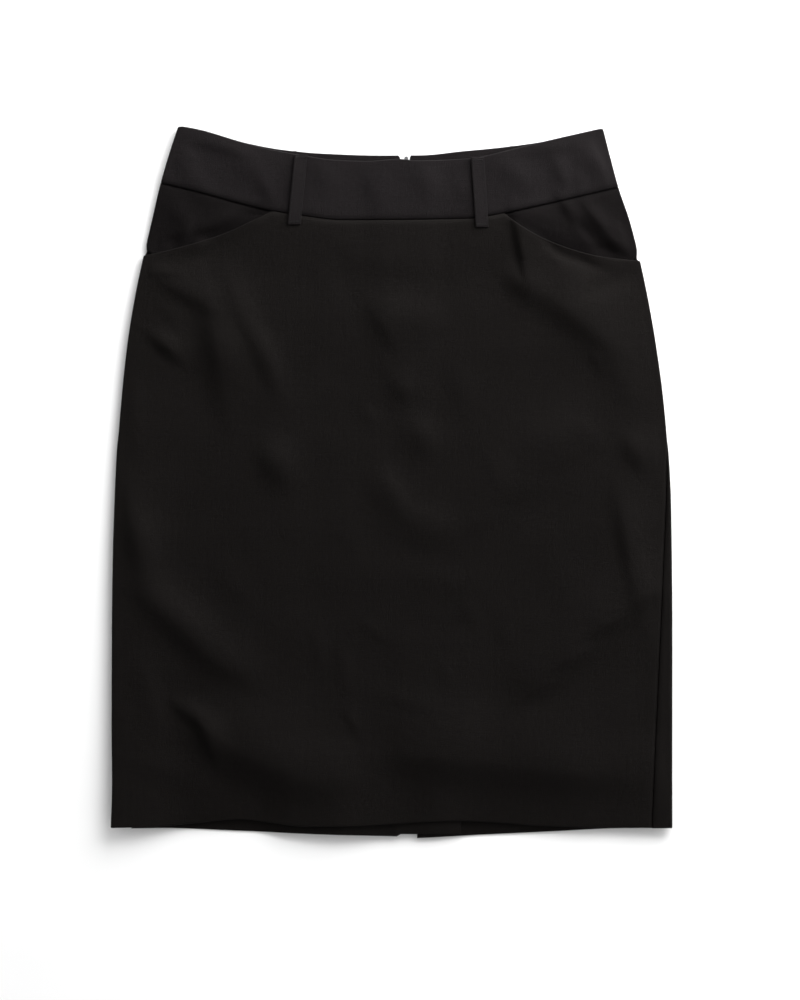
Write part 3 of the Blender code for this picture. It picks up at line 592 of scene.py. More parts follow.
def cornered(top):
    """A top edge with its corners rounded off."""

    def at(share):
        height = top(share)
        for corner, from_edge in ((LOW_CORNER, share), (HIGH_CORNER, 1 - share)):
            distance = from_edge * (high_outline(height) - low_outline(height))
            inside = np.clip(1 - distance / corner.radius, 0.0, 1.0)
            height = height - corner.drop * (1 - np.sqrt(1 - inside**2))
        return height

    return at


back_top = cornered(crossing(BACK_TOP))
front_top = cornered(crossing(FRONT_TOP))
waist_seam = crossing(WAIST_SEAM)
pocket_right = crossing(POCKET_RIGHT)
pocket_left = crossing(POCKET_LEFT)
front_hem = crossing(FRONT_HEM)
back_hem_right = crossing(BACK_HEM_RIGHT)
back_hem_left = crossing(BACK_HEM_LEFT)
RIGHT_MOUTH_END = across(*POCKET_RIGHT[-1])
LEFT_MOUTH_END = across(*POCKET_LEFT[0])
VENT_TOP = HEM_AT_SEAM + VENT_HEIGHT


def back_seam(y):
    return BACK_SEAM_X + BACK_SEAM_SLOPE * y


def vent_opening(y):
    """How far apart the two backs' centre lines have swung at height y."""
    return VENT_GAPE * np.clip((VENT_TOP - y) / VENT_HEIGHT, 0.0, 1.0)


def seam_swing(y):
    """How far the side seams have swung off the edges at height y."""
    share = np.clip((SWING_TOP - y) / (SWING_TOP - SWING_HEM), 0.0, 1.0)
    return FULL_SWING * share**SWING_POWER * smooth(share / SWING_START)


def edge_distance(x, y):
    return np.minimum(x - low_edge(y), high_edge(y) - x)


def fold_height(folds, x, y):
    total = 0.0
    for fold in folds:
        angle = np.radians(fold.angle)
        along = (x - fold.x) * np.cos(angle) + (y - fold.y) * np.sin(angle)
        aside = (y - fold.y) * np.cos(angle) - (x - fold.x) * np.sin(angle)
        width = np.where(aside > 0, fold.left, fold.right)
        total = total + fold.height * np.exp(-((along / fold.length) ** 2) - (aside / width) ** 2)
    return total


def ripple_waves():
    """Wave numbers and phases of the faint waves that keep a face from being true."""
    chance = np.random.default_rng(RIPPLE_SEED)
    angle = chance.uniform(0, np.pi, RIPPLES)
    length = chance.uniform(RIPPLE_SHORTEST, RIPPLE_LONGEST, RIPPLES)
    phase = chance.uniform(0, 2 * np.pi, RIPPLES)
    return list(zip(2 * np.pi * np.cos(angle) / length, 2 * np.pi * np.sin(angle) / length, phase))


WAVES = ripple_waves()


def ripples(x, y):
    return RIPPLE_HEIGHT * sum(np.sin(p * x + q * y + phase) for p, q, phase in WAVES)


def floor_lift(x, y):
    """Height of the back's outer face off the table."""
    low = low_edge_lift(y) * smooth(1 - (x - low_edge(y)) / LOW_LIFT_REACH)
    high = high_edge_lift(y) * smooth(1 - (high_edge(y) - x) / HIGH_LIFT_REACH)
    hem = hem_wave(x) * smooth(1 - (y - HEM_AT_SEAM) / HEM_FADE)
    under_seam = waist_seam(across(x, y)) - y
    band = BAND_LIFT * smooth(1 - (under_seam - LOOP_DROP - GAP) / BAND_LIFT_FADE)
    troughs = fold_height(TROUGHS, x, y) * smooth(edge_distance(x, y) / FOLD_EDGE_FADE)
    return low + high + hem + band + troughs


def stack(x, y):
    """Height of the front's outer face over the back's outer face."""
    air = PANEL_AIR + WAIST_AIR * smooth((y - WAIST_AIR_FROM) / WAIST_AIR_RISE)
    air = air + CROWN_AIR * smooth(edge_distance(x, y) / CROWN_REACH)
    from_zip = np.abs(x - back_seam(y)) - ZIP_AIR_HALF_WIDTH
    over_zip = smooth(1 - from_zip / ZIP_AIR_FADE)
    air = air + ZIP_AIR * over_zip * smooth((y - ZIP_FOOT_Y) / ZIP_AIR_FADE + 1)
    half = (UNDERLAP_EDGE_X - back_seam(y)) / 2
    from_underlap = np.abs(x - back_seam(y) - half) - half
    over_underlap = smooth(1 - from_underlap / ZIP_AIR_FADE)
    air = air + UNDERLAP_AIR * over_underlap * smooth((VENT_TOP - y) / ZIP_AIR_FADE + 1)
    relief = fold_height(FOLDS + CREASES + BAND_CREASES, x, y) + ripples(x, y)
    spare = air - LEAST_AIR + relief * smooth(edge_distance(x, y) / FOLD_EDGE_FADE)
    return 2 * WALL + LEAST_AIR + (spare + np.sqrt(spare**2 + LEAST_AIR**2)) / 2


def face(side, x, y, depth, drop=0.0):
    """A point depth inside the outer face of the front (side 1) or the back (side -1). drop
    lowers the front's."""
    z = floor_lift(x, y)
    if side > 0:
        z = z + stack(x, y) - drop
    return x, z - side * depth


def seam_sink(edge, y):
    """How much lower than halfway a panel's side seam lies, to meet the pocket piece."""
    return LAYER / 2 * smooth((y - mouth_end(edge)) / SINK_FADE + 1)


def roll(edge, side, out, y, depth, sink=0.0, drop=0.0):
    """A point depth inside a side edge's rolled cloth, on a piece of the front (side 1) or the
    back (side -1). out is its distance along the cloth from the edge's middle, positive over the
    front and negative round the back. The gap in the side seam is along the cloth, or straight
    up where the seam is on the edge's middle."""
    inward = 1 if edge == "low" else -1
    edge_x = low_edge(y) if edge == "low" else high_edge(y)
    gap_along = HALF_GAP * smooth(seam_swing(y) / EDGE_ARC)
    out = out + side * gap_along
    bend = np.clip(np.abs(out) / EDGE_ARC, 0.0, 1.0) * np.pi / 2
    run = EDGE_ROLL + np.maximum(np.abs(out) - EDGE_ARC, 0.0)
    flat_x = edge_x + inward * run
    _, top = face(1, flat_x, y, 0.0, drop)
    _, base = face(-1, flat_x, y, 0.0)
    middle = base + (top + drop - base) / 2 - sink + side * (HALF_GAP - gap_along)
    x = flat_x - inward * (EDGE_ROLL - depth) * np.cos(bend)
    half = np.where(out > 0, top - middle, middle - base) - depth
    return x, middle + half * np.sin(bend) * np.sign(out)


# ---- Columns of a piece of cloth, from its low side to its high side ----

# at(y, depth) gives a column's x and z. low and high are how far it is along the cloth from the
# piece's two side edges.
Column = namedtuple("Column", "at low high")
FAR = 1000.0


def edge_column(edge, side, plain, swung):
    """A place by a side edge: plain and swung are how far along the cloth it is where the side
    seam is on the edge and where it has swung its full way."""

    def at(y, depth):
        share = seam_swing(y) / FULL_SWING
        out = side * (plain + share * (swung - plain))
        return roll(edge, side, out, y, depth, seam_sink(edge, y))

    return at


def from_seam(edge, places, distances):
    """Columns from their places and their distances to a side seam, low side first."""
    if edge == "low":
        return [Column(at, d, FAR) for at, d in zip(places, distances)]
    return [Column(at, FAR, d) for at, d in zip(places, distances)][::-1]


TO_ROLL = np.linspace(NEAR_EDGE[-1], EDGE_ARC, ROLL_POINTS // 2)[1:]
EDGE_PLACES = np.concatenate([NEAR_EDGE, TO_ROLL])  # from a side seam to where a face is flat


def short_edge(edge, side):
    """The panel that stops short as the seam swings."""
    columns = [edge_column(edge, side, place, place + FULL_SWING) for place in EDGE_PLACES]
    return from_seam(edge, columns, EDGE_PLACES)


def wrapped_edge(edge, side):
    """The panel that wraps the edge as the seam swings."""
    near = np.array(NEAR_EDGE)
    flat = np.arange(near[-1] - FULL_SWING, -EDGE_ARC - STEP / 2, STEP)[1:]
    swung = np.concatenate([near - FULL_SWING, flat, np.linspace(-EDGE_ARC, EDGE_ARC, ROLL_POINTS)])
    plain = np.concatenate([near, np.linspace(near[-1], EDGE_ARC, len(swung) - len(near) + 1)[1:]])
    columns = [edge_column(edge, side, *pair) for pair in zip(plain, swung)]
    return from_seam(edge, columns, swung + FULL_SWING)


def still_edge(edge, side, sink=0.0, drop=0.0, retreat=None):
    """A piece whose side seam stays on the edge. retreat moves it inwards by height."""

    def column(place):
        def at(y, depth):
            out = place if retreat is None else place + retreat(y)
            return roll(edge, side, side * out, y, depth, sink, drop)

        return at

    return from_seam(edge, [column(place) for place in EDGE_PLACES], EDGE_PLACES)


def span(side, start, end, width, low_cut=False, high_cut=False, extra=(), drop=0.0):
    """Columns of a face between two lines, given as functions of height: about STEP apart, closer
    beside a cut edge and at each extra (share, offsets)."""
    low_margin = NEAR_EDGE[-1] if low_cut else 0.0
    high_margin = NEAR_EDGE[-1] if high_cut else 0.0

    def column(share, offset, low, high):
        def at(y, depth):
            first, last = start(y) + low_margin, end(y) - high_margin
            return face(side, first + share * (last - first) + offset, y, depth, drop)

        return Column(at, low, high)

    shares = np.linspace(0.0, 1.0, round(width / STEP) + 1)
    for place, offsets in extra:
        fine = place + np.array(offsets) / width
        kept = np.abs(shares - place) > fine[-1] - place + STEP / 2 / width
        shares = np.sort(np.concatenate([shares[kept], fine]))
    if not low_cut:
        shares = shares[1:]
    if not high_cut:
        shares = shares[:-1]
    columns = [
        column(s, 0.0, low_margin + s * width if low_cut else FAR,
               high_margin + (1 - s) * width if high_cut else FAR)
        for s in shares
    ]
    if low_cut:
        columns = [column(0.0, d - low_margin, d, FAR) for d in NEAR_EDGE[:-1]] + columns
    if high_cut:
        columns += [column(1.0, high_margin - d, FAR, d) for d in NEAR_EDGE[-2::-1]]
    return columns


def low_flat(y):
    """Where the flat of a face starts beside the low edge."""
    return low_edge(y) + EDGE_ROLL


def high_flat(y):
    return high_edge(y) - EDGE_ROLL


def low_flat_swung(y):
    return low_edge(y) + EDGE_ROLL + seam_swing(y)


def high_flat_swung(y):
    return high_edge(y) - EDGE_ROLL - seam_swing(y)


# ---- Grids of points and their meshes ----

# sewn says how much of a seam each side of a piece is: a number, or a function of x and y
Sewn = namedtuple("Sewn", "low high foot head")


def column_end(column, edge):
    """The height at which a column meets an edge, which is a height by the way across."""
    y = edge(0.5)
    for _ in range(COLUMN_END_TRIES):
        x, _ = column.at(y, 0.0)
        y = edge(across(x, y))
    return y


def row_heights(low, high, count):
    """Heights from one end of a column to the other, closer beside the ends."""
    near = np.array(NEAR_EDGE)
    inner = np.linspace(low + near[-1], high - near[-1], count)[1:-1]
    return np.concatenate([low + near, inner, high - near[::-1]])


def seam_pull(distance):
    return SEAM_DIP * np.exp(-((distance / SEAM_DIP_REACH) ** 2))


def weight(sewn, x, y):
    return sewn(x, y) if callable(sewn) else sewn


def cloth_grid(columns, foot, head, length, wall, sewn, seam_round=SEAM_ROUND):
    """A piece's outer and inner points, row by row. They meet at its edges, where the cloth folds
    round, and a seam draws both in."""
    count = round(length / STEP)
    rows = count + 2 * len(NEAR_EDGE) - 2
    outer = np.empty((rows, len(columns), 3))
    inner = np.empty((rows, len(columns), 3))
    for i, column in enumerate(columns):
        low, high = column_end(column, foot), column_end(column, head)
        y = row_heights(low, high, count)
        x, _ = column.at(y, 0.0)
        on_face = smooth(edge_distance(x, y) / EDGE_ROLL)
        inside, pull = 0.0, 0.0
        for k, distance in enumerate((column.low, column.high, y - low, high - y)):
            seam = weight(sewn[k], x, y)
            reach = EDGE_ROUND + seam * (seam_round - EDGE_ROUND)
            inside = np.maximum(inside, 1 - distance / reach)
            pull = np.maximum(pull, (on_face if k > 1 else 1.0) * seam * seam_pull(distance))
        inset = wall / 2 * (1 - np.sqrt(1 - np.clip(inside, 0.0, 1.0) ** 2))
        for points, depth in ((outer, inset + pull), (inner, wall - inset + pull)):
            x, z = column.at(y, depth)
            points[:, i] = np.stack([x, y, z], axis=1)
    return outer, inner


def grid_mesh(name, outer, inner, side):
    """A closed mesh of two grids of points that meet all round their edges."""
    rows, columns = outer.shape[:2]
    index = np.arange(rows * columns).reshape(rows, columns)
    under = index + rows * columns
    under[[0, -1]] = index[[0, -1]]
    under[:, [0, -1]] = index[:, [0, -1]]

    def quads(grid, turn):
        corners = [grid[:-1, :-1], grid[:-1, 1:], grid[1:, 1:], grid[1:, :-1]]
        return np.stack(corners[::turn], axis=-1).reshape(-1, 4)

    faces = np.concatenate([quads(index, side), quads(under, -side)])
    points = np.concatenate([outer.reshape(-1, 3), inner.reshape(-1, 3)])
    return make_mesh(name, points, faces)


def make_mesh(name, points, faces):
    """A new object of the points that the faces use, shaded smooth."""
    used, places = np.unique(faces, return_inverse=True)
    mesh = bpy.data.meshes.new(name)
    mesh.from_pydata((points[used] * MM).tolist(), [], places.reshape(faces.shape).tolist())
    mesh.shade_smooth()
    return add_object(name, mesh)


def add_object(name, data):
    made = bpy.data.objects.new(name, data)
    bpy.context.scene.collection.objects.link(made)
    return made


def dress(piece, material, slot, *nodes):
    """Gives a piece its material and slot, rides it on the skirt and lets it stand for nodes."""
    piece.data.materials.append(material)
    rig.ride(piece, BODY)
    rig.slot(piece, slot)
    if nodes:
        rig.replaces(piece, *nodes)
    return piece


# ---- Pieces of cloth ----


def seam_below(share):
    """The heads of the pieces under the waist seam."""
    return waist_seam(share) - SEAM_HALF_GAP


def seam_above(share):
    """The waistband's foot."""
    return waist_seam(share) + SEAM_HALF_GAP


def front_panel_top(share):
    """The front's upper edge: pocket mouth, waist seam, pocket mouth."""
    seam = seam_below(share)
    right = np.where(share < RIGHT_MOUTH_END, pocket_right(share), seam)
    both = np.where(share > LEFT_MOUTH_END, pocket_left(share), right)
    return np.minimum(both, seam)


def in_mouth(x, y):
    """1 where a column of the front ends in a pocket mouth, 0 where it ends in the waist seam."""
    share = across(x, y)
    right = smooth((RIGHT_MOUTH_END - share) / MOUTH_FADE)
    left = smooth((share - LEFT_MOUTH_END) / MOUTH_FADE)
    return right + left


def gape(points):
    """Lifts the front's points beside the pocket mouths, whose edges stand off a little."""
    x, y = points[..., 0], points[..., 1]
    under = front_panel_top(across(x, y)) - y
    fade = smooth(edge_distance(x, y) / MOUTH_GAPE_FROM_EDGE)
    lift = MOUTH_GAPE * in_mouth(x, y) * fade
    points[..., 2] += lift * np.exp(-((under / MOUTH_GAPE_REACH) ** 2))
    return points


def sag(points, mouth, above):
    """Lowers a pocket piece's points just over the pocket mouth. They stay above the back by the
    distance given."""
    x, y, z = points[..., 0], points[..., 1], points[..., 2]
    over = y - mouth(across(x, y))
    inside = edge_distance(x, y)
    z = z - HIP_SAG * smooth(inside / FOLD_EDGE_FADE) * smooth(1 - np.abs(over) / HIP_SAG_REACH)
    least = floor_lift(x, y) + WALL + above
    lifted = least + (z - least + np.hypot(z - least, HIP_CLEARANCE)) / 2
    points[..., 2] = z + (lifted - z) * smooth(inside / EDGE_ROLL - 1)
    return points


def build_front():
    columns = wrapped_edge("low", 1)
    columns += span(1, low_flat, high_flat_swung, FLAT_WIDTH)
    columns += short_edge("high", 1)
    sewn = Sewn(1.0, 1.0, 0.0, lambda x, y: 1 - in_mouth(x, y))
    grids = cloth_grid(columns, front_hem, front_panel_top, PANEL_LENGTH, WALL, sewn)
    piece = grid_mesh("front_cloth", *map(gape, grids), 1)
    return dress(piece, suiting, "suiting", "front_panel")


def hip_retreat(edge):
    """How far in from the rolled edge a pocket piece keeps, where it runs on under the front."""
    return lambda y: HIP_RETREAT * smooth(1 - (y - mouth_end(edge) - GAP) / HIP_RETREAT_RISE)


def build_hip_piece(name, edge, mouth, node):
    """A pocket side piece, from the waist seam to under the front's slanted edge."""
    retreat = hip_retreat(edge)
    side_columns = still_edge(edge, 1, LAYER / 2, LAYER, retreat)

    def inner_side(y):
        return low_flat(y) + inner_share * (high_flat(y) - low_flat(y))

    def outer_side(y):
        return low_flat(y) + retreat(y) if edge == "low" else high_flat(y) - retreat(y)

    if edge == "low":
        inner_share = RIGHT_MOUTH_END + HIP_OVERRUN
        width = inner_share * FLAT_WIDTH
        flat = span(1, outer_side, inner_side, width, high_cut=True, drop=LAYER)
        columns = side_columns + flat
        sewn = Sewn(1.0, 0.0, 0.0, 1.0)
    else:
        inner_share = LEFT_MOUTH_END - HIP_OVERRUN
        width = (1 - inner_share) * FLAT_WIDTH
        flat = span(1, inner_side, outer_side, width, low_cut=True, drop=LAYER)
        columns = flat + side_columns
        sewn = Sewn(0.0, 1.0, 0.0, 1.0)

    def foot(share):
        return np.minimum(mouth(share), waist_seam(share)) - HIP_UNDERLAY

    outer, inner = cloth_grid(columns, foot, seam_below, HIP_LENGTH, WALL, sewn)
    outer = sag(outer, mouth, HIP_CLEARANCE + WALL)
    inner = sag(inner, mouth, HIP_CLEARANCE)
    piece = grid_mesh(name, outer, inner, 1)
    # The pocket pieces take the darker copy of the suiting, which paints their shade.
    return dress(piece, pocket_suiting_painted_shade, "suiting", node)


def right_centre(y):
    return back_seam(y) - HALF_GAP - vent_opening(y) / 2


def left_centre(y):
    return back_seam(y) + HALF_GAP + vent_opening(y) / 2


def right_back_end(y):
    """The right back's inner side: the centre back seam, then the underlap's edge."""
    lap = UNDERLAP_EDGE_X - right_centre(y)
    return right_centre(y) + lap * smooth((VENT_TOP - UNDERLAP_RISE - y) / UNDERLAP_SLANT)


def on_overlap(points):
    """Lifts the right back's points on to the overlap, where the vent is."""
    x, y = points[..., 0], points[..., 1]
    centre = back_seam(y) - vent_opening(y) / 2
    beside = smooth((x - centre + UNDERLAP_RISE) / UNDERLAP_RISE)
    below = smooth((VENT_TOP - y) / UNDERLAP_RISE)
    points[..., 2] += LAYER * beside * below
    return points


def dart_line(dart, y):
    """Where a back's dart is at height y."""
    if dart.side == "right":
        start, end = low_flat_swung(y), right_centre(y) - NEAR_EDGE[-1]
    else:
        start, end = left_centre(y) + NEAR_EDGE[-1], high_flat(y)
    return start + dart.share * (end - start)


def darted(points, dart):
    """Draws a back's points in along its dart, which swells out a little round its point."""
    x, y = points[..., 0], points[..., 1]
    aside = x - dart_line(dart, y)
    up = smooth((y - dart.foot_y) / (DART_SWELL_REACH * 2))
    points[..., 2] += dart.depth * up * np.exp(-((aside / DART_WIDTH) ** 2))
    around = np.hypot(aside, y - dart.foot_y) / DART_SWELL_REACH
    points[..., 2] += DART_SWELL * np.exp(-(around**2)) * (1 - np.exp(-((aside / DART_WIDTH) ** 2)))
    return points


def above_vent(x, y):
    return smooth((y - VENT_TOP) / UNDERLAP_RISE)


def back_hem(share):
    """The right back's hem, which runs on level along the underlap."""
    hem = back_hem_right(share)
    beyond = smooth((share - across(right_centre(HEM_AT_SEAM), HEM_AT_SEAM)) / UNDERLAP_HEM_FADE)
    return hem + beyond * (UNDERLAP_HEM_Y - hem)


def build_backs():
    """The right back, with the underlap, and the left back, which is the overlap."""
    right_dart, left_dart = DARTS
    half = FLAT_WIDTH / 2

    def build(place, columns, hem, sewn, shaped):
        grids = cloth_grid(columns, hem, seam_below, PANEL_LENGTH, WALL, sewn)
        piece = grid_mesh("back_cloth_" + place, *map(shaped, grids), -1)
        return dress(piece, suiting, "suiting", "back_panel_" + place)

    at = [(right_dart.share, DART_COLUMNS)]
    columns = short_edge("low", -1)
    columns += span(-1, low_flat_swung, right_back_end, half, high_cut=True, extra=at)
    sewn = Sewn(1.0, above_vent, 0.0, 1.0)
    right = build("right", columns, back_hem, sewn, lambda g: darted(on_overlap(g), right_dart))

    at = [(left_dart.share, DART_COLUMNS)]
    columns = span(-1, left_centre, high_flat, half, low_cut=True, extra=at)
    columns += wrapped_edge("high", -1)
    sewn = Sewn(above_vent, 1.0, 0.0, 1.0)
    left = build("left", columns, back_hem_left, sewn, lambda g: darted(g, left_dart))
    return right, left


def build_waistband():
    """The front waistband, and the two back ones with the notch between their ends."""
    half = FLAT_WIDTH / 2

    def right_end(y):
        return back_seam(y) - right_notch(y)

    def left_end(y):
        return back_seam(y) + left_notch(y)

    def build(place, side, columns, top, sewn):
        grids = cloth_grid(
            columns, seam_above, top, BAND_HEIGHT, BAND_WALL, sewn, BAND_SEAM_ROUND
        )
        piece = grid_mesh("waistband_cloth_" + place, *grids, side)
        # The waistband takes the lighter copy of the suiting, which is partly painted light.
        return dress(piece, band_suiting_grain_and_painted_light, "waistband_suiting", "waistband_" + place)

    columns = still_edge("low", 1) + span(1, low_flat, high_flat, FLAT_WIDTH)
    columns += still_edge("high", 1)
    front = build("front", 1, columns, front_top, Sewn(1.0, 1.0, 1.0, 0.0))
    columns = still_edge("low", -1) + span(-1, low_flat, right_end, half, high_cut=True)
    right = build("back_right", -1, columns, back_top, Sewn(1.0, 0.0, 1.0, 0.0))
    columns = span(-1, left_end, high_flat, half, low_cut=True) + still_edge("high", -1)
    left = build("back_left", -1, columns, back_top, Sewn(0.0, 1.0, 1.0, 0.0))
    return front, right, left


# ---- Belt loops and sewing ----


def loop_ends(loop):
    """The heights of a loop's foot and head."""
    top = front_top if loop.face == "front" else back_top
    head_y = top(across(loop.head_x, top(0.5)))
    foot_y = waist_seam(across(loop.foot_x, waist_seam(0.5))) - LOOP_DROP
    return foot_y, head_y


def loop_point(loop, up, aside, depth):
    """A point depth inside a loop's outer face, a share up of the way to its head and aside of
    its middle."""
    foot_y, head_y = loop_ends(loop)
    y = foot_y + up * (head_y - foot_y)
    x = loop.foot_x + up * (loop.head_x - loop.foot_x) + aside
    if loop.face == "back":
        return np.stack(np.broadcast_arrays(x, y, BACK_LOOP_REST + depth), axis=-1)
    from_end = np.minimum(up, 1 - up) * (head_y - foot_y)
    bent = LOOP_END_DROP * smooth(1 - from_end / LOOP_END_REACH)
    tilt = LOOP_TILT * (0.5 - aside / LOOP_WIDTH)
    out = LOOP_GAP + LOOP_CLOTH + LOOP_STAND * np.sin(np.pi * up) - bent + tilt - depth
    return np.stack(np.broadcast_arrays(x, y, floor_lift(x, y) + stack(x, y) + out), axis=-1)


def build_loop(loop):
    foot_y, head_y = loop_ends(loop)
    length = head_y - foot_y
    up = row_heights(0.0, length, round(length / STEP))[:, None]
    aside = row_heights(0.0, LOOP_WIDTH, LOOP_COLUMNS)[None, :]
    folded = 1 - np.minimum(up, aside) / LOOP_FOLD
    pressed = 1 - np.minimum(up[-1] - up, LOOP_WIDTH - aside) / LOOP_ROUND
    inside = np.clip(np.maximum(folded, pressed), 0.0, 1.0)
    inset = LOOP_CLOTH / 2 * (1 - np.sqrt(1 - inside**2))
    grids = [
        loop_point(loop, up / length, aside - LOOP_WIDTH / 2, depth)
        for depth in (inset, LOOP_CLOTH - inset)
    ]
    piece = grid_mesh(loop.name + "_cloth", *grids, 1 if loop.face == "front" else -1)
    # The loops take the waistband's lighter copy of the suiting, which is partly painted light.
    return dress(piece, band_suiting_grain_and_painted_light, "waistband_suiting", loop.name)


def directions(paths):
    """The way that each path of points runs at each of them."""
    along = np.gradient(paths, axis=1)
    return along / np.linalg.norm(along, axis=-1, keepdims=True)


def tube_mesh(name, paths, aside, radius, sides):
    """A tube on each path. aside is square to the path, and its rings of points are set by it."""
    off = np.cross(aside, directions(paths))
    turn = np.arange(sides)[:, None] * 2 * np.pi / sides
    ring = off[:, :, None] * np.cos(turn) + aside[:, :, None] * np.sin(turn)
    points = paths[:, :, None] + radius * ring
    index = np.arange(points[..., 0].size).reshape(points.shape[:3])
    beside = np.roll(index, -1, axis=2)
    quads = np.stack([index[:, :-1], beside[:, :-1], beside[:, 1:], index[:, 1:]], axis=-1)
    return make_mesh(name, points.reshape(-1, 3), quads.reshape(-1, 4))


def stitch(loop, up, aside, up_end, aside_end):
    """A stitch's path on a loop, from one place to another, its ends drawn into the cloth."""
    share = np.linspace(0.0, 1.0, STITCH_RINGS)
    depth = THREAD_RADIUS * (STITCH_SINK * (2 * share - 1) ** 4 - STITCH_PROUD)
    return loop_point(loop, up + share * (up_end - up), aside + share * (aside_end - aside), depth)


def build_loop_stitches(loop):
    """Edge stitching up both sides of a loop and a tack across its foot and its head."""
    foot_y, head_y = loop_ends(loop)
    length = head_y - foot_y
    half = LOOP_WIDTH / 2 - LOOP_STITCH_INSET
    last = length - STITCH_LENGTH - LOOP_STITCH_HEAD
    paths = []
    for aside in (-half, half):
        for start in np.arange(LOOP_STITCH_FOOT, last, STITCH_PITCH):
            up, up_end = start / length, (start + STITCH_LENGTH) / length
            paths.append(stitch(loop, up, aside, up_end, aside))
    for height in (TACK_ABOVE_FOOT, length - TACK_ABOVE_FOOT):
        for aside in np.arange(-half, half - TACK_PITCH / 2, TACK_PITCH):
            up = (height - TACK_LENGTH / 2) / length
            up_end = up + TACK_LENGTH / length
            paths.append(stitch(loop, up, aside, up_end, aside + TACK_PITCH / 2))
    paths = np.array(paths)
    off_cloth = (0.0, 0.0, 1.0 if loop.face == "front" else -1.0)
    aside = np.cross(directions(paths), off_cloth)
    aside /= np.linalg.norm(aside, axis=-1, keepdims=True)
    piece = tube_mesh(loop.name + "_stitches", paths, aside, THREAD_RADIUS, STITCH_SIDES)
    return dress(piece, thread, "waistband_suiting")


# ---- Zip ----


def build_coil(name, side):
    """One side's coil on its tape's inner edge, half a pitch higher on the left."""
    foot = ZIP_FOOT_Y + (COIL_PITCH / 2 if side > 0 else 0.0)
    y = np.arange(foot, ZIP_HEAD_Y - COIL_PITCH, COIL_PITCH)[:, None]
    turn = np.linspace(0.0, np.pi, COIL_RINGS)[None, :]
    x = back_seam(y) + side * (GAP + COIL_WIDTH * (1 - np.sin(turn)))
    over_seam = smooth((y - waist_seam(across(x, y)) + TAPE_STEP_BELOW) / TAPE_STEP_RISE)
    tape = floor_lift(x, y) + WALL + (BAND_WALL - WALL) * over_seam + GAP + TAPE_WALL
    z = tape + COIL_RADIUS + (COIL_HEIGHT - 2 * COIL_RADIUS) * (1 - np.cos(turn)) / 2
    paths = np.stack(np.broadcast_arrays(x, y, z), axis=-1)
    up_skirt = np.broadcast_to([0.0, 1.0, 0.0], paths.shape)
    piece = tube_mesh(name, paths, up_skirt, COIL_RADIUS, COIL_SIDES)
    return dress(piece, coil_plastic, "zip_tape")


# ---- Materials ----


def add_node(tree, kind, inputs=(), **settings):
    """A new node, with its settings and its inputs as sockets to link or values."""
    made = tree.nodes.new(kind)
    for key, value in settings.items():
        setattr(made, key, value)
    for key, value in dict(inputs).items():
        if isinstance(value, bpy.types.NodeSocket):
            tree.links.new(value, made.inputs[key])
        else:
            made.inputs[key].default_value = value
    return made


def math(tree, operation, *values):
    return add_node(tree, "ShaderNodeMath", enumerate(values), operation=operation).outputs[0]


class Finish:
    """A procedural material: its nodes, and its shader's colour, roughness and bumps."""

    def __init__(self, name):
        self.material = bpy.data.materials.new(name)
        self.material.use_nodes = True
        self.tree = self.material.node_tree
        self.shader = self.tree.nodes["Principled BSDF"]
        self.place = add_node(self.tree, "ShaderNodeTexCoord").outputs["Object"]

    def math(self, operation, *values):
        return math(self.tree, operation, *values)

    def scaled(self, *sizes_mm):
        """The place, where 1 is a feature's size along each axis."""
        inputs = {0: self.place, 1: tuple(1 / (size * MM) for size in sizes_mm)}
        return add_node(self.tree, "ShaderNodeVectorMath", inputs, operation="MULTIPLY").outputs[0]

    def noise(self, size_mm, detail=2.0, stretch=(1.0, 1.0, 1.0)):
        """Noise with features size_mm across, longer by stretch along each axis."""
        place = self.scaled(*(size_mm * longer for longer in stretch))
        inputs = {"Vector": place, "Scale": 1.0, "Detail": detail}
        return add_node(self.tree, "ShaderNodeTexNoise", inputs).outputs["Fac"]

    def weave(self, pitch_mm, repeat):
        """The height of a weave's yarns: one way's show over the other's one time in repeat, a
        yarn further along in each row."""
        scaled = self.scaled(pitch_mm, pitch_mm, pitch_mm)
        parts = add_node(self.tree, "ShaderNodeSeparateXYZ", {0: scaled}).outputs
        turns = [self.math("MULTIPLY", self.math("FRACT", part), np.pi) for part in parts[:2]]
        yarns = [self.math("SINE", turn) for turn in turns]
        row = self.math("ADD", self.math("FLOOR", parts[0]), self.math("FLOOR", parts[1]))
        over = self.math("LESS_THAN", self.math("FLOORED_MODULO", row, repeat), 1.0)
        turned = self.math("MULTIPLY", self.math("SUBTRACT", yarns[1], yarns[0]), over)
        return self.math("ADD", yarns[0], turned)

    def colour(self, share, dark, light):
        ends = {0: share, 6: (*dark, 1.0), 7: (*light, 1.0)}
        mixed = add_node(self.tree, "ShaderNodeMix", ends, data_type="RGBA")
        self.tree.links.new(mixed.outputs[2], self.shader.inputs["Base Color"])

    def roughness(self, share, low, high):
        ends = {"Value": share, "To Min": low, "To Max": high}
        spread = add_node(self.tree, "ShaderNodeMapRange", ends)
        self.tree.links.new(spread.outputs[0], self.shader.inputs["Roughness"])

    def bumps(self, *layers):
        """Bumps from heights, each (height, millimetres)."""
        normal = None
        for height, size in layers:
            inputs = {"Height": height, "Strength": 1.0, "Distance": size * MM}
            if normal is not None:
                inputs["Normal"] = normal
            normal = add_node(self.tree, "ShaderNodeBump", inputs).outputs[0]
        self.tree.links.new(normal, self.shader.inputs["Normal"])

    def everywhere(self, socket, value):
        """Sets a socket that is the same all over."""
        self.shader.inputs[socket].default_value = value


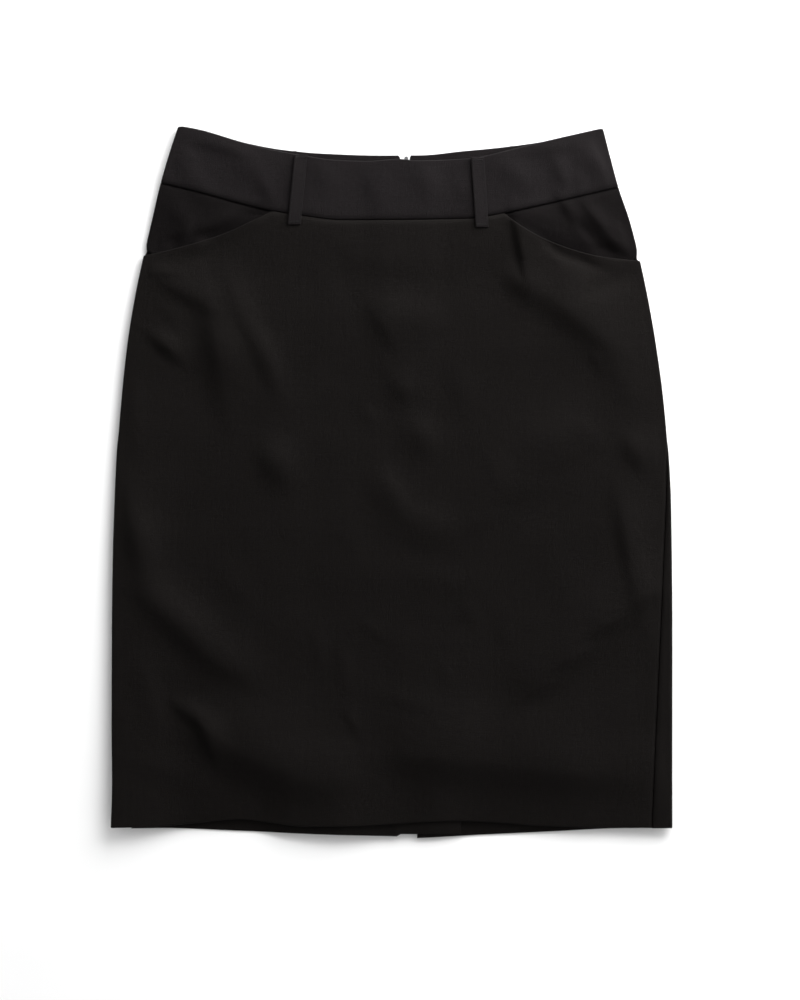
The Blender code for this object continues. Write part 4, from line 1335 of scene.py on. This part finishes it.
def suiting_material(name, dark, light, lustre, tint):
    """A fine black twill suiting: a little nap, its yarns and shade not quite even."""
    made = Finish(name)
    yarns = made.weave(YARN_PITCH, TWILL_REPEAT)
    warp_slub = made.noise(SLUB_SIZE, stretch=(1.0, SLUB_STRETCH, 1.0))
    weft_slub = made.noise(SLUB_SIZE, stretch=(SLUB_STRETCH, 1.0, 1.0))
    speckle = made.noise(SPECKLE_SIZE, detail=3.0)
    cloud = made.noise(CLOUD_SIZE, detail=3.0)
    crumple = made.noise(CRUMPLE_SIZE, detail=3.0)
    slub = made.math("MULTIPLY", warp_slub, weft_slub)
    specks = made.math("MULTIPLY", speckle, SPECKLE_SHADE)
    mixed = made.math("MULTIPLY_ADD", slub, SLUB_SHADE, specks)
    clouded = made.math("MULTIPLY_ADD", cloud, CLOUD_SHADE, mixed)
    shade = made.math("MULTIPLY_ADD", yarns, YARN_SHADE, clouded)
    made.colour(made.math("SUBTRACT", shade, LESS_SHADE), dark, light)
    made.roughness(mixed, *SUITING_ROUGHNESS)
    made.bumps((crumple, CRUMPLE_DEPTH), (slub, SLUB_DEPTH), (yarns, YARN_DEPTH))
    made.everywhere("Specular IOR Level", lustre)
    made.everywhere("Specular Tint", (*tint, 1.0))
    return made.material


def thread_material():
    made = Finish("thread")
    settings = {"Vector": made.place, "Scale": 900.0, "Distortion": 1.5, "Detail": 1.0}
    wave = add_node(made.tree, "ShaderNodeTexWave", settings, bands_direction="DIAGONAL")
    twist = wave.outputs["Fac"]
    made.colour(twist, (0.002, 0.002, 0.002), (0.006, 0.006, 0.0062))
    made.roughness(twist, 0.38, 0.55)
    made.bumps((twist, 0.04))
    made.everywhere("Specular IOR Level", 0.16)
    return made.material


def tape_material():
    """The zip's tape: a fine herringbone of ribs."""
    made = Finish("tape_weave")
    ribs = made.weave(0.5, 2.0)
    fuzz = made.noise(0.4)
    made.colour(
        made.math("MULTIPLY", made.math("ADD", ribs, fuzz), 0.5),
        (0.005, 0.005, 0.005), (0.014, 0.014, 0.015),
    )
    made.roughness(fuzz, 0.7, 0.85)
    made.bumps((ribs, 0.08), (fuzz, 0.04))
    made.everywhere("Specular IOR Level", 0.25)
    return made.material


def coil_material():
    made = Finish("coil_nylon")
    cloud = made.noise(3.0)
    made.colour(cloud, (0.004, 0.004, 0.004), (0.012, 0.012, 0.012))
    made.roughness(cloud, 0.28, 0.42)
    made.bumps((made.noise(0.3, detail=1.0), 0.01))
    return made.material


def metal_material():
    """The slider and its tab: grey enamel on metal, rubbed brighter in places."""
    made = Finish("slider_metal")
    rub = made.noise(1.6, detail=4.0)
    grain = made.noise(0.12, stretch=(1.0, 8.0, 1.0))
    share = made.math("MULTIPLY_ADD", grain, 0.4, made.math("MULTIPLY", rub, 0.6))
    made.colour(share, (0.16, 0.16, 0.165), (0.42, 0.42, 0.43))
    made.roughness(rub, 0.28, 0.48)
    made.bumps((grain, 0.01), (rub, 0.03))
    made.everywhere("Metallic", 1.0)
    return made.material


def floor_material():
    made = Finish("white_table")
    cloud = made.noise(60.0)
    made.colour(cloud, (0.9, 0.9, 0.9), (0.93, 0.93, 0.93))
    made.roughness(cloud, 0.85, 0.95)
    made.everywhere("Specular IOR Level", 0.0)
    return made.material


suiting, pocket_suiting_painted_shade, band_suiting_grain_and_painted_light = (
    suiting_material("black_suiting" + kind, dark, light, lustre, tint)
    for kind, dark, light, lustre, tint in (
        ("", (0.0002, 0.0002, 0.0002), (0.0013, 0.001, 0.0009), 0.079, (1.0, 0.89, 0.84)),
        # The pocket pieces' copy of the suiting is darker and less glossy than the panels': painted shade for their
        # sag beside the mouths.
        ("_pocket", (0.0002, 0.0002, 0.0002), (0.0009, 0.0007, 0.0007), 0.07, (1.0, 0.87, 0.88)),
        # The waistband's copy is lighter and glossier than the panels': partly for its cross grain, and partly painted
        # light for the band facing the key.
        ("_band", (0.0009, 0.0008, 0.00085), (0.0027, 0.0023, 0.0025), 0.101, (1.0, 0.87, 0.9)),
    )
)
thread = thread_material()
coil_plastic = coil_material()


# ---- The skirt ----

front = build_front()
hips = [
    build_hip_piece("hip_cloth_right", "low", pocket_right, "hip_piece_right"),
    build_hip_piece("hip_cloth_left", "high", pocket_left, "hip_piece_left"),
]
backs = build_backs()
bands = build_waistband()
loops = [build_loop(loop) for loop in LOOPS]
stitches = [build_loop_stitches(loop) for loop in LOOPS]
coils = [build_coil("zip_coil_right", -1), build_coil("zip_coil_left", 1)]

tape_weave, slider_metal = tape_material(), metal_material()
for name in ("zip_tape_right", "zip_tape_left", "zip_slider", "zip_pull"):
    kept = frame["nodes"][name]
    for place in kept.material_slots:
        place.material = tape_weave if "tape" in name else slider_metal

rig.sheet(front, flat=(0.535, 0.556), held="laid", area=0.264, rests_on=backs)
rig.sheet(hips[0], flat=(0.120, 0.090), held="laid", rests_on=backs[0], area=0.0066)
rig.sheet(hips[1], flat=(0.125, 0.090), held="laid", rests_on=backs[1], area=0.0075)
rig.sheet(
    backs[0], flat=(0.300, 0.585), held="laid", rests_on="floor", area=0.148,
    with_pieces=[frame["nodes"]["zip_tape_right"], coils[0]],
)
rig.sheet(
    backs[1], flat=(0.262, 0.585), held="laid", rests_on="floor", area=0.133,
    with_pieces=[frame["nodes"]["zip_tape_left"], coils[1]],
)
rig.sheet(
    bands[0], flat=(0.425, 0.090), held="laid", rests_on=bands[1:], area=0.0222,
    with_pieces=[*loops[:2], *stitches[:2]],
)
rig.sheet(
    bands[1], flat=(0.225, 0.080), held="laid", rests_on="floor", area=0.0122,
    with_pieces=[loops[2], stitches[2]],
)
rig.sheet(
    bands[2], flat=(0.205, 0.080), held="laid", rests_on="floor", area=0.0108,
    with_pieces=[loops[3], stitches[3]],
)


# ---- Stage, light and camera ----


bpy.ops.mesh.primitive_plane_add(size=FLOOR_SIZE)
floor = bpy.context.object
floor.name = "floor"
floor.data.materials.append(floor_material())
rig.stage(floor)

lamp = bpy.data.lights.new("key", "AREA")
lamp.shape = "RECTANGLE"
lamp.size, lamp.size_y = KEY_SIZE
lamp.energy = KEY_WATTS
key = add_object("key", lamp)
key.location = KEY_PLACE
key.rotation_euler = (-Vector(KEY_PLACE)).to_track_quat("-Z", "Y").to_euler()

world = bpy.data.worlds.new("studio")
bpy.context.scene.world = world
world.use_nodes = True
background = world.node_tree.nodes["Background"]
towards = add_node(world.node_tree, "ShaderNodeTexCoord").outputs["Generated"]
height = add_node(world.node_tree, "ShaderNodeSeparateXYZ", {0: towards}).outputs[2]
fade = add_node(
    world.node_tree, "ShaderNodeMapRange",
    {"Value": height, "To Min": WORLD_HORIZON, "To Max": WORLD_ZENITH},
)
leant = add_node(
    world.node_tree, "ShaderNodeVectorMath", {0: towards, 1: WORLD_LEAN}, operation="DOT_PRODUCT"
).outputs["Value"]
strength = math(world.node_tree, "MULTIPLY_ADD", leant, fade.outputs[0], fade.outputs[0])
world.node_tree.links.new(strength, background.inputs["Strength"])
background.inputs["Color"].default_value = (1.0, 1.0, 1.0, 1.0)

bpy.context.scene.view_settings.view_transform = "Standard"

lens = bpy.data.cameras.new("camera")
lens.lens = LENS
lens.sensor_width = SENSOR
camera = add_object("camera", lens)
camera.location = (
    (PHOTO_WIDTH / 2 - CENTRE_PIXEL.x) * MM_PER_PIXEL * MM,
    (CENTRE_PIXEL.y - PHOTO_HEIGHT / 2) * MM_PER_PIXEL * MM,
    PHOTO_HEIGHT * MM_PER_PIXEL * MM * LENS / SENSOR,
)
bpy.context.scene.camera = camera

with open("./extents.json", "w") as sizes:
    boxes = {"cad": CAD_BOX, "visual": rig.bounds()}
    json.dump({key: [list(corner) for corner in box] for key, box in boxes.items()}, sizes)
